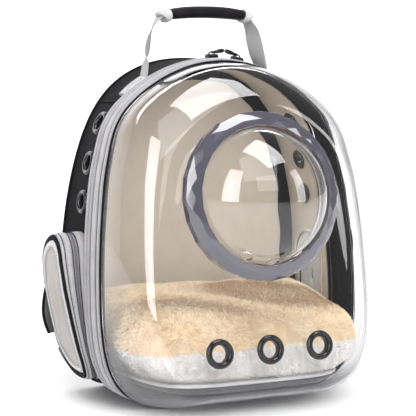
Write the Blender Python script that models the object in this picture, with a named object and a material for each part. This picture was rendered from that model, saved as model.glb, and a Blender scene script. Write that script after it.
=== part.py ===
# Bubble pet carrier backpack.  Metres, +Z up, the clear front faces -Y, the back panel faces +Y.
# The origin is on the floor, at the middle of the whole object seen from above.
import math

import bmesh
import bpy
import numpy as np
from mathutils import Vector

for old in list(bpy.data.objects):
    bpy.data.objects.remove(old, do_unlink=True)

LOOP_POINTS = 36          # points around the arch outline
GAP = 0.0004              # clearance between neighbouring pieces
ORIGIN_Y = 0.0103         # from the middle of the seam plane back to the origin

# Arch outline of the seam between clear shell and frame, one half: x, z in metres.
SEAM_HALF = [
    (0.0, 0.0), (0.040, 0.0), (0.080, 0.0), (0.100, 0.0035), (0.116, 0.0095), (0.130, 0.0185),
    (0.1412, 0.032), (0.1495, 0.050), (0.1540, 0.070), (0.1562, 0.092), (0.1568, 0.115), (0.1562, 0.150),
    (0.1542, 0.185), (0.1510, 0.217), (0.1470, 0.249), (0.1415, 0.275), (0.1345, 0.300), (0.1268, 0.3155),
    (0.1166, 0.3285), (0.0992, 0.3434), (0.0802, 0.3556), (0.0620, 0.3645), (0.0420, 0.3718),
    (0.0210, 0.3762), (0.0, 0.3778)]
SEAM_HEIGHT = 0.3778
SEAM_HALF_WIDTH = 0.1568
# Arch outline of the fabric body at the back panel, one half.
BACK_HALF = [
    (0.0, 0.0), (0.0385, 0.0), (0.077, 0.0), (0.0962, 0.0036), (0.1116, 0.0097), (0.125, 0.0189),
    (0.1366, 0.0327), (0.1453, 0.0511), (0.1500, 0.0715), (0.1525, 0.094), (0.153, 0.1175),
    (0.152, 0.1533), (0.1496, 0.184), (0.1453, 0.2167), (0.1395, 0.2463), (0.1308, 0.279),
    (0.1203, 0.3066), (0.1087, 0.3281), (0.0962, 0.3439), (0.0808, 0.3577), (0.0616, 0.3684),
    (0.0414, 0.3756), (0.0212, 0.3792), (0.0, 0.3802)]
SEAM_MIDDLE = 0.2045      # height where the seam plane crosses y = 0
SEAM_LEAN = 0.092         # the seam plane leans back by this much per metre of height
SEAM_BOW = 0.0051         # and bows back at both ends

FRAME_DEPTH = 0.043       # all the frame bands together, on the sides
FRAME_TOP_SHARE = 0.80    # the bands are this much narrower over the top of the arch
BODY_SIDE = 0.962         # fabric body half width behind the frame as a share of the seam outline
BODY_BACK = 0.125         # y of the rear edge of the fabric wall
WALL = 0.0025             # fabric wall
LINING = 0.0012           # beige lining
LINING_BACK = 0.1215      # y of the lining's back sheet, rear side

# Frame bands from the front to the back: name, from, to, inner and outer offset, crown, material.
# From and to are shares of FRAME_DEPTH, in forty-thirds of it.
FRAME_BANDS = [
    ("shell_binding",      0.0,  3.0, -0.0016, 0.0016, 0.0000, "black_binding"),
    ("frame_front_band",   3.4, 11.0, -0.0030, 0.0026, 0.0000, "grey_band"),
    ("frame_front_piping", 11.4, 13.6, -0.0030, 0.0020, 0.0000, "black_binding"),
    ("frame_wide_band",   14.0, 25.4, -0.0030, 0.0036, 0.0009, "grey_band"),
    ("zip_middle",        25.8, 28.0, -0.0030, 0.0028, 0.0000, "zip_coil"),
    ("frame_thin_band",   28.4, 32.2, -0.0030, 0.0040, 0.0000, "grey_band"),
    ("zip_rear",          32.6, 34.6, -0.0030, 0.0030, 0.0000, "zip_coil"),
    ("frame_rear_band",   35.0, 43.0, -0.0030, 0.0042, 0.0000, "grey_band")]

# Clear shell sections: share of the way forward, side inset, bottom rise, top height.
SHELL_SECTIONS = [
    (0.00, 0.0000, 0.0000, 0.3778), (0.30, 0.0035, 0.0060, 0.3765), (0.55, 0.0092, 0.0125, 0.3722),
    (0.75, 0.0165, 0.0185, 0.3635), (0.88, 0.0235, 0.0242, 0.3530), (0.96, 0.0300, 0.0312, 0.3430),
    (1.00, 0.0380, 0.0400, 0.3330)]
SHELL_WALL = 0.0015
FACE_Y = -0.0695          # outer face of the shell at the bubble's centre
FACE_Z = 0.235            # height of the bubble's centre
FACE_LEAN = 0.165         # the front face leans back by this much per metre

DOME_RADIUS = 0.0746
# Faceted ring around the bubble: how far outside the dome, height above the shell, turned by half a
# facet or not.
RING_FACETS = 24
RING_ROWS = [
    (0.0166, 0.0004, 0.0), (0.0166, 0.0105, 0.0), (0.0122, 0.0144, 0.5), (0.0077, 0.0172, 0.0),
    (0.0016, 0.0190, 0.5), (0.0011, 0.0140, 0.5), (0.0011, 0.0022, 0.5), (0.0134, 0.0022, 0.5),
    (0.0134, 0.0004, 0.5)]
DOME_FOOT = 0.0140        # height of the ring-shaped wall under the dome
DOME_RISE = 0.0540
DOME_WALL = 0.0015
DOME_FLANGE = DOME_RADIUS + 0.0114
SHELL_HOLE = DOME_RADIUS - 0.0028

FRONT_EYELET_X = (-0.060, 0.0, 0.060)
FRONT_EYELET_Z = 0.0735
FRONT_EYELET_HOLE = 0.0092
FRONT_EYELET_NECK = 0.0106
FRONT_EYELET_RADIUS = 0.0160
SIDE_EYELET_Y = 0.076
SIDE_EYELET_Z = (0.309, 0.265, 0.222)
SIDE_EYELET_HOLE = 0.0080
SIDE_EYELET_NECK = 0.0094
SIDE_EYELET_RADIUS = 0.0140

WINDOW_Y = (0.052, 0.108)
WINDOW_Z = (0.066, 0.172)
WINDOW_CORNER = 0.024
WINDOW_EDGE = 0.0008      # clearance around the mesh
MESH_THICK = 0.0012

PAD_BOARD_Z = (0.0335, 0.0375)
# Height of the pad's top from the front to the back: y, z.
PAD_TOP = [(-0.083, 0.0660), (-0.072, 0.0790), (-0.060, 0.0920), (-0.047, 0.1010), (-0.030, 0.1070),
           (0.004, 0.1135), (0.040, 0.1190), (0.076, 0.1240), (0.110, 0.1272)]
# Widest outline of the pad seen from above, one half: x, y.
PAD_HALF = [(0.0, -0.0830), (0.045, -0.0825), (0.080, -0.0805), (0.108, -0.0755), (0.1265, -0.0660),
            (0.1365, -0.0480), (0.1400, -0.0200), (0.1410, 0.020), (0.1405, 0.060), (0.1365, 0.094),
            (0.1210, 0.1095), (0.070, 0.1130), (0.0, 0.1140)]
BASE_Z = (0.0052, 0.0330)
BASE_FRONT_Z = 0.0262     # underside of the insert's front part, which follows the shell

POCKET_Z = (0.028, 0.188)
POCKET_BACK = 0.108
# Pocket reach from the middle of the carrier: height, x of the outer edge.
POCKET_REACH = [(0.020, 0.1530), (0.045, 0.1600), (0.061, 0.1650), (0.095, 0.1725), (0.129, 0.1790),
                (0.160, 0.1830), (0.195, 0.1840)]
POCKET_WALL = 0.0020

HANDLE_Y = 0.0665
HANDLE_WIDTH = 0.020
HANDLE_THICK = 0.0016
GRIP_HALF = 0.046
GRIP_Z = 0.4335
STRAP_WIDTH = 0.058
STRAP_THICK = 0.010
BACK_PANEL = (0.1254, 0.1310)

MATERIALS = {
    "black_fabric": (0.012, 0.011, 0.012, 0.85, 0.0, 1.0),
    "black_binding": (0.010, 0.010, 0.011, 0.75, 0.0, 1.0),
    "grey_band": (0.42, 0.41, 0.43, 0.65, 0.0, 1.0),
    "zip_coil": (0.030, 0.030, 0.034, 0.45, 0.0, 1.0),
    "beige_lining": (0.42, 0.35, 0.26, 0.80, 0.0, 1.0),
    "grey_mesh": (0.62, 0.62, 0.63, 0.70, 0.0, 1.0),
    "clear_sheet": (0.90, 0.90, 0.92, 0.05, 0.0, 0.30),
    "ring_plastic": (0.24, 0.24, 0.30, 0.15, 0.0, 1.0),
    "eyelet_black": (0.008, 0.008, 0.009, 0.12, 0.0, 1.0),
    "plush": (0.78, 0.62, 0.42, 0.95, 0.0, 1.0),
    "pad_board": (0.66, 0.66, 0.65, 0.80, 0.0, 1.0),
    "dark_base": (0.10, 0.10, 0.11, 0.85, 0.0, 1.0),
    "pocket_panel": (0.46, 0.42, 0.38, 0.75, 0.0, 1.0),
    "grey_webbing": (0.40, 0.40, 0.40, 0.80, 0.0, 1.0),
    "grip_foam": (0.014, 0.013, 0.015, 0.80, 0.0, 1.0),
    "dark_metal": (0.030, 0.030, 0.032, 0.30, 1.0, 1.0),
    "strap_fabric": (0.110, 0.110, 0.112, 0.80, 0.0, 1.0)}


def material(name):
    found = bpy.data.materials.get(name)
    if found:
        return found
    red, green, blue, rough, metal, alpha = MATERIALS[name]
    made = bpy.data.materials.new(name)
    made.use_nodes = True
    shader = made.node_tree.nodes["Principled BSDF"]
    shader.inputs["Base Color"].default_value = (red, green, blue, 1.0)
    shader.inputs["Roughness"].default_value = rough
    shader.inputs["Metallic"].default_value = metal
    shader.inputs["Alpha"].default_value = alpha
    return made


def make(name, verts, faces, mat):
    moved = [(v[0], v[1] - ORIGIN_Y, v[2]) for v in verts]
    mesh = bpy.data.meshes.new(name)
    mesh.from_pydata(moved, [], faces)
    work = bmesh.new()
    work.from_mesh(mesh)
    bmesh.ops.recalc_face_normals(work, faces=work.faces)
    work.to_mesh(mesh)
    work.free()
    made = bpy.data.objects.new(name, mesh)
    made.data.materials.append(material(mat))
    bpy.context.collection.objects.link(made)
    return made


def curve_points(points, count, closed):
    # Catmull-Rom through the given points, then evenly spaced along its length
    pts = [np.array(p, float) for p in points]
    dense = []
    total = len(pts)
    spans = total if closed else total - 1
    for i in range(spans):
        if closed:
            p0, p1, p2, p3 = (pts[(i + k - 1) % total] for k in range(4))
        else:
            p0, p1, p2, p3 = (pts[min(max(i + k - 1, 0), total - 1)] for k in range(4))
        for step in range(16):
            t = step / 16.0
            dense.append(0.5 * (2 * p1 + (p2 - p0) * t + (2 * p0 - 5 * p1 + 4 * p2 - p3) * t * t
                                + (3 * p1 - p0 - 3 * p2 + p3) * t ** 3))
    dense.append(pts[0] if closed else pts[-1])
    dense = np.array(dense)
    run = np.concatenate([[0], np.cumsum(np.linalg.norm(np.diff(dense, axis=0), axis=1))])
    wanted = np.linspace(0, run[-1], count + 1)[:-1] if closed else np.linspace(0, run[-1], count)
    return np.stack([np.interp(wanted, run, dense[:, k]) for k in range(dense.shape[1])], -1)


def strips(rows, close_rows):
    # quads between neighbouring closed loops of equal length
    count = len(rows[0])
    verts = [tuple(p) for row in rows for p in row]
    faces = []
    last = len(rows) if close_rows else len(rows) - 1
    for r in range(last):
        a = r * count
        b = ((r + 1) % len(rows)) * count
        for i in range(count):
            j = (i + 1) % count
            faces.append((a + i, a + j, b + j, b + i))
    return verts, faces


right_half = SEAM_HALF
left_half = [(-x, z) for x, z in reversed(SEAM_HALF[1:-1])]
OUTLINE = curve_points(right_half + left_half, LOOP_POINTS, True)
OUTLINE[:, 1] = np.maximum(OUTLINE[:, 1], 0.0)
left_half = [(-x, z) for x, z in reversed(BACK_HALF[1:-1])]
fine = curve_points(BACK_HALF + left_half, 100 * LOOP_POINTS, True)
fine[:, 1] = np.maximum(fine[:, 1], 0.0)
BACK_OUTLINE = np.array([fine[np.argmin(np.hypot(*(fine - p * (BODY_SIDE, 1.0)).T))] for p in OUTLINE])
ahead = np.roll(OUTLINE, -1, axis=0) - np.roll(OUTLINE, 1, axis=0)
ahead /= np.linalg.norm(ahead, axis=1)[:, None]
NORMALS = np.stack([ahead[:, 1], -ahead[:, 0]], -1)
LIFT = np.clip(OUTLINE[:, 1] / 0.030, 0.0, 1.0)
LIFT = LIFT * LIFT * (3 - 2 * LIFT)


def seam_y(z):
    return SEAM_LEAN * (z - SEAM_MIDDLE) + SEAM_BOW * ((z - SEAM_MIDDLE) / 0.2) ** 2


def face_y(z):
    return FACE_Y + FACE_LEAN * (z - FACE_Z)


def band_depth(depth, z):
    t = min(max((z - 0.20) / 0.16, 0.0), 1.0)
    return depth * (1.0 - (1.0 - FRAME_TOP_SHARE) * t * t * (3 - 2 * t))


def frame_loop(depth, offset):
    row = []
    for (x, z), (nx, nz), lift in zip(OUTLINE, NORMALS, LIFT):
        out = offset * lift if offset > 0 else offset
        row.append((x + nx * out, seam_y(z) + band_depth(depth, z), max(z + nz * out, 0.0)))
    return row


def body_loop(share, offset, back=BODY_BACK, start=FRAME_DEPTH + GAP):
    row = []
    for (x, z), (back_x, back_z), (nx, nz) in zip(OUTLINE, BACK_OUTLINE, NORMALS):
        y = (1 - share) * (seam_y(z) + band_depth(start, z)) + share * back
        front = seam_y(z) + band_depth(FRAME_DEPTH + GAP, z)
        deep = min(max((y - front) / (BODY_BACK - front), 0.0), 1.0)
        px = x * BODY_SIDE * (1 - deep) + back_x * deep
        pz = z * (1 - deep) + back_z * deep
        row.append((px + nx * offset, y, pz + nz * offset))
    return row


def cut(target, cutter):
    mod = target.modifiers.new("cut", "BOOLEAN")
    mod.operation = "DIFFERENCE"
    mod.solver = "EXACT"
    mod.object = cutter
    bpy.context.view_layer.objects.active = target
    bpy.ops.object.modifier_apply(modifier=mod.name)


def drop(thing):
    bpy.data.objects.remove(thing, do_unlink=True)


def lathe(name, profile, count, origin, axis, side, mat, turned=0.0):
    # closed profile of (radius, height) swept round the axis
    axis = np.array(axis, float)
    side = np.array(side, float)
    third = np.cross(axis, side)
    rows = []
    for radius, height in profile:
        row = []
        for i in range(count):
            a = 2 * math.pi * (i + turned) / count
            p = np.array(origin) + axis * height + radius * (side * math.cos(a) + third * math.sin(a))
            row.append(tuple(p))
        rows.append(row)
    verts, faces = strips(rows, True)
    return make(name, verts, faces, mat)


def rod(name, radius, origin, axis, side, low, high, count, mat="black_fabric"):
    axis = np.array(axis, float)
    side = np.array(side, float)
    third = np.cross(axis, side)
    rows = []
    for height in (low, high):
        row = []
        for i in range(count):
            a = 2 * math.pi * i / count
            p = np.array(origin) + axis * height + radius * (side * math.cos(a) + third * math.sin(a))
            row.append(tuple(p))
        rows.append(row)
    verts, faces = strips(rows, False)
    faces.append(tuple(range(count)))
    faces.append(tuple(range(2 * count - 1, count - 1, -1)))
    return make(name, verts, faces, mat)


# Frame: eight loops sewn one behind the other, light bands with zips and piping between them.
for name, start, end, inner, outer, crown, mat in FRAME_BANDS:
    start, end = start * FRAME_DEPTH / 43, end * FRAME_DEPTH / 43
    loops = [frame_loop(start, inner), frame_loop(start, outer)]
    if crown:
        loops.append(frame_loop((start + end) / 2, outer + crown))
    loops.append(frame_loop(end, outer))
    loops.append(frame_loop(end, inner))
    verts, faces = strips(loops, True)
    make(name, verts, faces, mat)

# Black lining on the inner side of the frame.
loops = [frame_loop(0.0006, -0.0046), frame_loop(0.0006, -0.0034),
         frame_loop(FRAME_DEPTH - 0.0004, -0.0034), frame_loop(FRAME_DEPTH - 0.0004, -0.0046)]
verts, faces = strips(loops, True)
make("frame_lining", verts, faces, "black_binding")

# Black fabric wall of the body, an arch-shaped loop, with its beige lining inside.
loops = [body_loop(0.0, -WALL), body_loop(0.0, 0.0), body_loop(0.5, 0.0), body_loop(1.0, 0.0),
         body_loop(1.0, -WALL), body_loop(0.5, -WALL)]
verts, faces = strips(loops, True)
body = make("body_wall", verts, faces, "black_fabric")

skin = -WALL - 0.0009
start = FRAME_DEPTH + 0.0008
loops = [body_loop(0.0, skin - LINING, LINING_BACK, start), body_loop(0.0, skin, LINING_BACK, start),
         body_loop(0.5, skin, LINING_BACK, start), body_loop(1.0, skin, LINING_BACK, start)]
inner_loops = [body_loop(1.0, skin - LINING, LINING_BACK - LINING, start)]
verts, faces = strips(loops + inner_loops, False)
count = LOOP_POINTS
faces = [f[1:] + f[:1] for f in faces[:3 * count]]
faces.append(tuple(3 * count + i for i in range(count)))
for i in range(count):
    j = (i + 1) % count
    faces.append((i, j, 4 * count + j, 4 * count + i))
faces.append(tuple(4 * count + i for i in range(count)))
lining = make("lining", verts, faces, "beige_lining")

# Black binding over the seam between the lining's wall and its back sheet.
edge = skin - LINING - 0.0008
loops = [body_loop(1.0, edge, LINING_BACK - LINING - GAP), body_loop(1.0, edge - 0.012, LINING_BACK - LINING - GAP),
         body_loop(1.0, edge - 0.012, LINING_BACK - LINING - GAP - 0.0015),
         body_loop(1.0, edge, LINING_BACK - LINING - GAP - 0.0015)]
verts, faces = strips(loops, True)
make("corner_binding", verts, faces, "black_binding")

# Padded back panel, flat plate behind the body.
loops = [body_loop(1.0, -0.002, BACK_PANEL[0]), body_loop(1.0, 0.0, BACK_PANEL[0] + 0.002),
         body_loop(1.0, -0.002, BACK_PANEL[1])]
verts, faces = strips(loops, False)
faces.append(tuple(range(count)))
faces.append(tuple(2 * count + i for i in range(count)))
make("back_panel", verts, faces, "black_fabric")


# Clear shell, one thermoformed sheet, with the bubble's hole and three eyelet holes.
def shell_loop(share, inset, low, high, wall):
    row = []
    for x, z in OUTLINE:
        px = x * (SEAM_HALF_WIDTH - inset - wall) / SEAM_HALF_WIDTH
        pz = (low + wall) + z * (high - low - 2 * wall) / SEAM_HEIGHT
        y = (1 - share) * (seam_y(z) - GAP) + share * (face_y(pz) + wall)
        row.append((px, y, pz))
    return row


outer_rows = [shell_loop(s, i, lo, hi, 0.0) for s, i, lo, hi in SHELL_SECTIONS]
inner_rows = [shell_loop(s, i, lo, hi, SHELL_WALL) for s, i, lo, hi in SHELL_SECTIONS]
verts, faces = strips(outer_rows + inner_rows[::-1], False)
rows_outer = len(outer_rows)
faces = [f for k, f in enumerate(faces) if not (rows_outer - 1) * count <= k < rows_outer * count]
faces.append(tuple((rows_outer - 1) * count + i for i in range(count)))
faces.append(tuple(rows_outer * count + i for i in range(count)))
last = (2 * rows_outer - 1) * count
for i in range(count):
    j = (i + 1) % count
    faces.append((i, j, last + j, last + i))
shell = make("clear_shell", verts, faces, "clear_sheet")

FACE_NORMAL = np.array([0.0, -1.0, FACE_LEAN])
FACE_NORMAL = FACE_NORMAL / np.linalg.norm(FACE_NORMAL)
FACE_SIDE = np.array([1.0, 0.0, 0.0])
FACE_CENTRE = (0.0, FACE_Y, FACE_Z)
hole = rod("hole", SHELL_HOLE, FACE_CENTRE, FACE_NORMAL, FACE_SIDE, -0.01, 0.01, 32)
cut(shell, hole)
drop(hole)
for x in FRONT_EYELET_X:
    hole = rod("hole", FRONT_EYELET_NECK + 0.0009, (x, face_y(FRONT_EYELET_Z), FRONT_EYELET_Z),
               FACE_NORMAL, FACE_SIDE, -0.01, 0.01, 12)
    cut(shell, hole)
    drop(hole)

# Faceted ring that clamps the bubble to the shell.
rows = []
for radius, height, turn in RING_ROWS:
    row = []
    for k in range(RING_FACETS):
        a = 2 * math.pi * (k + turn) / RING_FACETS
        side = np.cross(FACE_NORMAL, FACE_SIDE)
        p = np.array(FACE_CENTRE) + FACE_NORMAL * height
        p = p + (DOME_RADIUS + radius) * (FACE_SIDE * math.cos(a) + side * math.sin(a))
        row.append(tuple(p))
    rows.append(row)
verts = [p for row in rows for p in row]
faces = []
n = RING_FACETS
for k in range(n):
    j = (k + 1) % n
    h = (k - 1) % n
    faces.append((k, j, n + j, n + k))
    faces.append((n + k, n + j, 2 * n + k))
    faces.append((n + k, 2 * n + k, 3 * n + k, 2 * n + h))
    faces.append((2 * n + k, 3 * n + j, 3 * n + k))
    faces.append((3 * n + k, 3 * n + j, 4 * n + k))
    faces.append((3 * n + j, 4 * n + j, 4 * n + k))
    for row in (4, 5, 6, 7):
        faces.append((row * n + k, row * n + j, (row + 1) * n + j, (row + 1) * n + k))
    faces.append((8 * n + k, 8 * n + j, j))
    faces.append((8 * n + k, j, k))
make("bubble_ring", verts, faces, "ring_plastic")

# Clear dome with its foot and flange, held under the ring.
ball = (DOME_RADIUS ** 2 + DOME_RISE ** 2) / (2 * DOME_RISE)
top = DOME_FOOT + DOME_RISE
half = math.asin(DOME_RADIUS / ball)
profile = [(DOME_RADIUS - DOME_WALL, GAP), (DOME_FLANGE, GAP), (DOME_FLANGE, 0.0018),
           (DOME_RADIUS, 0.0018)]
for step in range(5):
    a = half * (1 - step / 5.0)
    profile.append((ball * math.sin(a), top - ball + ball * math.cos(a)))
outer_end = len(profile)
inside = []
for step in range(1, 6):
    a = half * step / 5.0
    inside.append(((ball - DOME_WALL) * math.sin(a), top - ball + (ball - DOME_WALL) * math.cos(a)))
profile = profile + inside
seg = 24
axis = FACE_NORMAL
third = np.cross(axis, FACE_SIDE)
verts = []
for radius, height in profile:
    for i in range(seg):
        a = 2 * math.pi * i / seg
        p = np.array(FACE_CENTRE) + axis * height
        p = p + radius * (FACE_SIDE * math.cos(a) + third * math.sin(a))
        verts.append(tuple(p))
apex_out = len(verts)
verts.append(tuple(np.array(FACE_CENTRE) + axis * top))
apex_in = len(verts)
verts.append(tuple(np.array(FACE_CENTRE) + axis * (top - DOME_WALL)))
faces = []
for r in range(len(profile)):
    if r == outer_end - 1:
        continue
    q = (r + 1) % len(profile)
    for i in range(seg):
        j = (i + 1) % seg
        faces.append((r * seg + i, r * seg + j, q * seg + j, q * seg + i))
for i in range(seg):
    j = (i + 1) % seg
    faces.append(((outer_end - 1) * seg + i, (outer_end - 1) * seg + j, apex_out))
    faces.append((outer_end * seg + j, outer_end * seg + i, apex_in))
make("bubble_dome", verts, faces, "clear_sheet")

# Three glossy eyelets in the shell.
hole_r = FRONT_EYELET_HOLE
neck = FRONT_EYELET_NECK
wide = FRONT_EYELET_RADIUS
under = -SHELL_WALL - GAP
profile = [(hole_r, under - 0.0024), (hole_r, 0.0036), (hole_r + 0.0022, 0.0048), (wide - 0.0022, 0.0042),
           (wide, 0.0020), (wide, GAP), (neck, GAP), (neck, under), (wide - 0.001, under),
           (wide - 0.0015, under - 0.0024)]
for number, x in enumerate(FRONT_EYELET_X, 1):
    lathe("front_eyelet_%d" % number, profile, 12, (x, face_y(FRONT_EYELET_Z), FRONT_EYELET_Z),
          FACE_NORMAL, FACE_SIDE, "eyelet_black")


# Six eyelets in the fabric walls, three a side.
def wall_point(y, z):
    # point and outward direction on the right body wall at this depth and height
    front = seam_y(z) + band_depth(FRAME_DEPTH + GAP, z)
    share = min(max((y - front) / (BODY_BACK - front), 0.0), 1.0)
    line = OUTLINE * (BODY_SIDE, 1.0) * (1 - share) + BACK_OUTLINE * share
    for i in range(1, LOOP_POINTS // 2):
        low = line[i]
        high = line[i + 1]
        if low[1] <= z <= high[1]:
            t = (z - low[1]) / (high[1] - low[1])
            run = high - low
            run = run / np.linalg.norm(run)
            return low[0] + t * (high[0] - low[0]), np.array([run[1], 0.0, -run[0]])
    return SEAM_HALF_WIDTH * BODY_SIDE, np.array([1.0, 0.0, 0.0])


hole_r = SIDE_EYELET_HOLE
neck = SIDE_EYELET_NECK
wide = SIDE_EYELET_RADIUS
under = -WALL - GAP - LINING - 0.0027
profile = [(hole_r, under - 0.0018), (hole_r, 0.0034), (wide - 0.0030, 0.0042), (wide, 0.0017),
           (neck, 0.0017), (neck, under), (wide - 0.0022, under), (wide - 0.0026, under - 0.0018)]
for sign, side_name in ((-1, "left"), (1, "right")):
    for number, z in enumerate(SIDE_EYELET_Z, 1):
        x, normal = wall_point(SIDE_EYELET_Y, z)
        normal = normal * (sign, 1, 1)
        centre = (sign * x, SIDE_EYELET_Y, z)
        hole = rod("hole", SIDE_EYELET_NECK + 0.0012, centre, normal, (0.0, 1.0, 0.0), -0.012, 0.010, 10)
        cut(body, hole)
        cut(lining, hole)
        drop(hole)
        lathe("side_eyelet_%s_%d" % (side_name, number), profile, 10, centre, normal, (0.0, 1.0, 0.0),
              "eyelet_black")


# Mesh windows behind the pockets.
def rounded(low_y, high_y, low_z, high_z, radius, steps):
    pts = []
    corners = [(high_y - radius, high_z - radius, 0), (low_y + radius, high_z - radius, 90),
               (low_y + radius, low_z + radius, 180), (high_y - radius, low_z + radius, 270)]
    for cy, cz, first in corners:
        for s in range(steps + 1):
            a = math.radians(first + 90.0 * s / steps)
            pts.append((cy + radius * math.cos(a), cz + radius * math.sin(a)))
    return pts


for sign, side_name in ((-1, "left"), (1, "right")):
    hole_line = rounded(WINDOW_Y[0], WINDOW_Y[1], WINDOW_Z[0], WINDOW_Z[1], WINDOW_CORNER, 3)
    size = len(hole_line)
    verts = [(sign * 0.130, y, z) for y, z in hole_line] + [(sign * 0.170, y, z) for y, z in hole_line]
    faces = [tuple(range(size)), tuple(range(2 * size - 1, size - 1, -1))]
    faces += [(i, (i + 1) % size, size + (i + 1) % size, size + i) for i in range(size)]
    hole = make("hole", verts, faces, "black_fabric")
    cut(body, hole)
    cut(lining, hole)
    drop(hole)
    e = WINDOW_EDGE
    line = rounded(WINDOW_Y[0] + e, WINDOW_Y[1] - e, WINDOW_Z[0] + e, WINDOW_Z[1] - e, WINDOW_CORNER - e, 3)
    size = len(line)
    verts = []
    for depth in (-WALL / 2 - MESH_THICK / 2, -WALL / 2 + MESH_THICK / 2):
        for y, z in line:
            x, normal = wall_point(y, z)
            verts.append((sign * (x + depth), y, z))
    faces = [tuple(range(size)), tuple(range(2 * size - 1, size - 1, -1))]
    faces += [(i, (i + 1) % size, size + (i + 1) % size, size + i) for i in range(size)]
    made = make("mesh_window_%s" % side_name, verts, faces, "grey_mesh")

# Dark base insert, the board of the pad and the plush pad on it.
base_line = curve_points([(0.0, -0.004), (0.060, -0.004), (0.098, 0.000), (0.112, 0.010), (0.116, 0.030),
                          (0.117, 0.060), (0.116, 0.090), (0.111, 0.108), (0.095, 0.1145), (0.050, 0.1150),
                          (0.0, 0.1150), (-0.050, 0.1150), (-0.095, 0.1145), (-0.111, 0.108),
                          (-0.116, 0.090), (-0.117, 0.060), (-0.116, 0.030), (-0.112, 0.010),
                          (-0.098, 0.000), (-0.060, -0.004)], 24, True)
board_half = [(0.0, -0.0800), (0.045, -0.0790), (0.080, -0.0745), (0.102, -0.0600), (0.1130, -0.0350),
              (0.1190, -0.005), (0.1225, 0.030), (0.1230, 0.070), (0.1200, 0.098), (0.106, 0.1120),
              (0.060, 0.1145), (0.0, 0.1150)]
board_full = board_half + [(-x, y) for x, y in reversed(board_half[1:-1])]
board_line = curve_points(board_full, 28, True)
front_line = curve_points(board_full, 24, True)
verts, faces = strips([[(x * 0.54, y, BASE_Z[0]) for x, y in base_line],
                       [(x * 0.68, y, BASE_Z[0] + 0.0045) for x, y in base_line],
                       [(x * 0.82, y, BASE_Z[0] + 0.0115) for x, y in base_line],
                       [(x * 0.90, 0.0175 + (y - 0.0175) * 0.97, BASE_FRONT_Z) for x, y in front_line],
                       [(x * 0.97, 0.0175 + (y - 0.0175) * 0.99, BASE_Z[1]) for x, y in front_line]], False)
faces.append(tuple(range(24)))
faces.append(tuple(range(96, 120)))
make("base_insert", verts, faces, "dark_base")
verts, faces = strips([[(x, y, PAD_BOARD_Z[0]) for x, y in board_line],
                       [(x, y, PAD_BOARD_Z[1]) for x, y in board_line]], False)
faces.append(tuple(range(28)))
faces.append(tuple(range(28, 56)))
make("pad_board", verts, faces, "pad_board")


def pad_top(y):
    return float(np.interp(y, [p[0] for p in PAD_TOP], [p[1] for p in PAD_TOP]))


# Pad loops from its underside to its top: scale, share of the widest outline against the board's,
# height share of the local thickness.
PAD_ROWS = [(0.95, 0.0, 0.0), (1.0, 0.55, 0.16), (1.0, 1.0, 0.42), (0.985, 1.0, 0.72), (0.94, 1.0, 0.91),
            (0.80, 1.0, 0.985), (0.45, 1.0, 1.0)]
pad_line = curve_points(PAD_HALF + [(-x, y) for x, y in reversed(PAD_HALF[1:-1])], 28, True)
rows = []
for scale, wide_share, share in PAD_ROWS:
    row = []
    for (x, y), (wide_x, wide_y) in zip(board_line, pad_line):
        x = x * (1 - wide_share) + wide_x * wide_share
        y = y * (1 - wide_share) + wide_y * wide_share
        cy = 0.0175 + (y - 0.0175) * scale
        low = PAD_BOARD_Z[1] + GAP
        row.append((x * scale, cy, low + share * (pad_top(cy) - low)))
    rows.append(row)
verts, faces = strips(rows, False)
faces.append(tuple(range(28)))
faces.append(tuple(range(6 * 28, 7 * 28)))
make("plush_pad", verts, faces, "plush")


# Side pockets: a band standing off the wall with a zip in it, black piping and a panel.
def pocket_reach(z):
    heights = [h for h, _ in POCKET_REACH]
    reach = [r for _, r in POCKET_REACH]
    return float(np.interp(z, heights, reach))


def pocket_front(z):
    return seam_y(z) + band_depth(FRAME_DEPTH, z) + 0.0022


low_z, high_z = POCKET_Z
pocket_line = [
    (pocket_front(0.040) + 0.004, 0.036), (pocket_front(0.055), 0.055), (pocket_front(0.080), 0.080),
    (pocket_front(0.110), 0.110), (pocket_front(0.140), 0.140), (pocket_front(0.165) + 0.0005, 0.165),
    (pocket_front(0.180) + 0.006, 0.180), (0.062, high_z), (0.080, 0.1840), (0.095, 0.1720), (0.1040, 0.1520),
    (0.1075, 0.125), (POCKET_BACK, 0.095), (0.1060, 0.065), (0.0980, 0.043), (0.082, 0.0315),
    (0.062, low_z), (0.044, 0.0300)]
POCKET_POINTS = 16
pocket_line = curve_points(pocket_line, POCKET_POINTS, True)
centre = pocket_line.mean(axis=0)
run = np.roll(pocket_line, -1, axis=0) - np.roll(pocket_line, 1, axis=0)
run /= np.linalg.norm(run, axis=1)[:, None]
pocket_normals = np.stack([run[:, 1], -run[:, 0]], -1)
if ((pocket_line[0] - centre) * pocket_normals[0]).sum() < 0:
    pocket_normals = -pocket_normals


def pocket_loop(sign, share, extra, inset):
    row = []
    for (y, z), (ny, nz) in zip(pocket_line, pocket_normals):
        py = y - ny * inset
        pz = z - nz * inset
        wall_x, wall_out = wall_point(py, pz)
        root = wall_x + 0.0024 / wall_out[0]
        reach = pocket_reach(z)
        row.append((sign * (root + (reach - root) * share + extra), py, pz))
    return row


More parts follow.
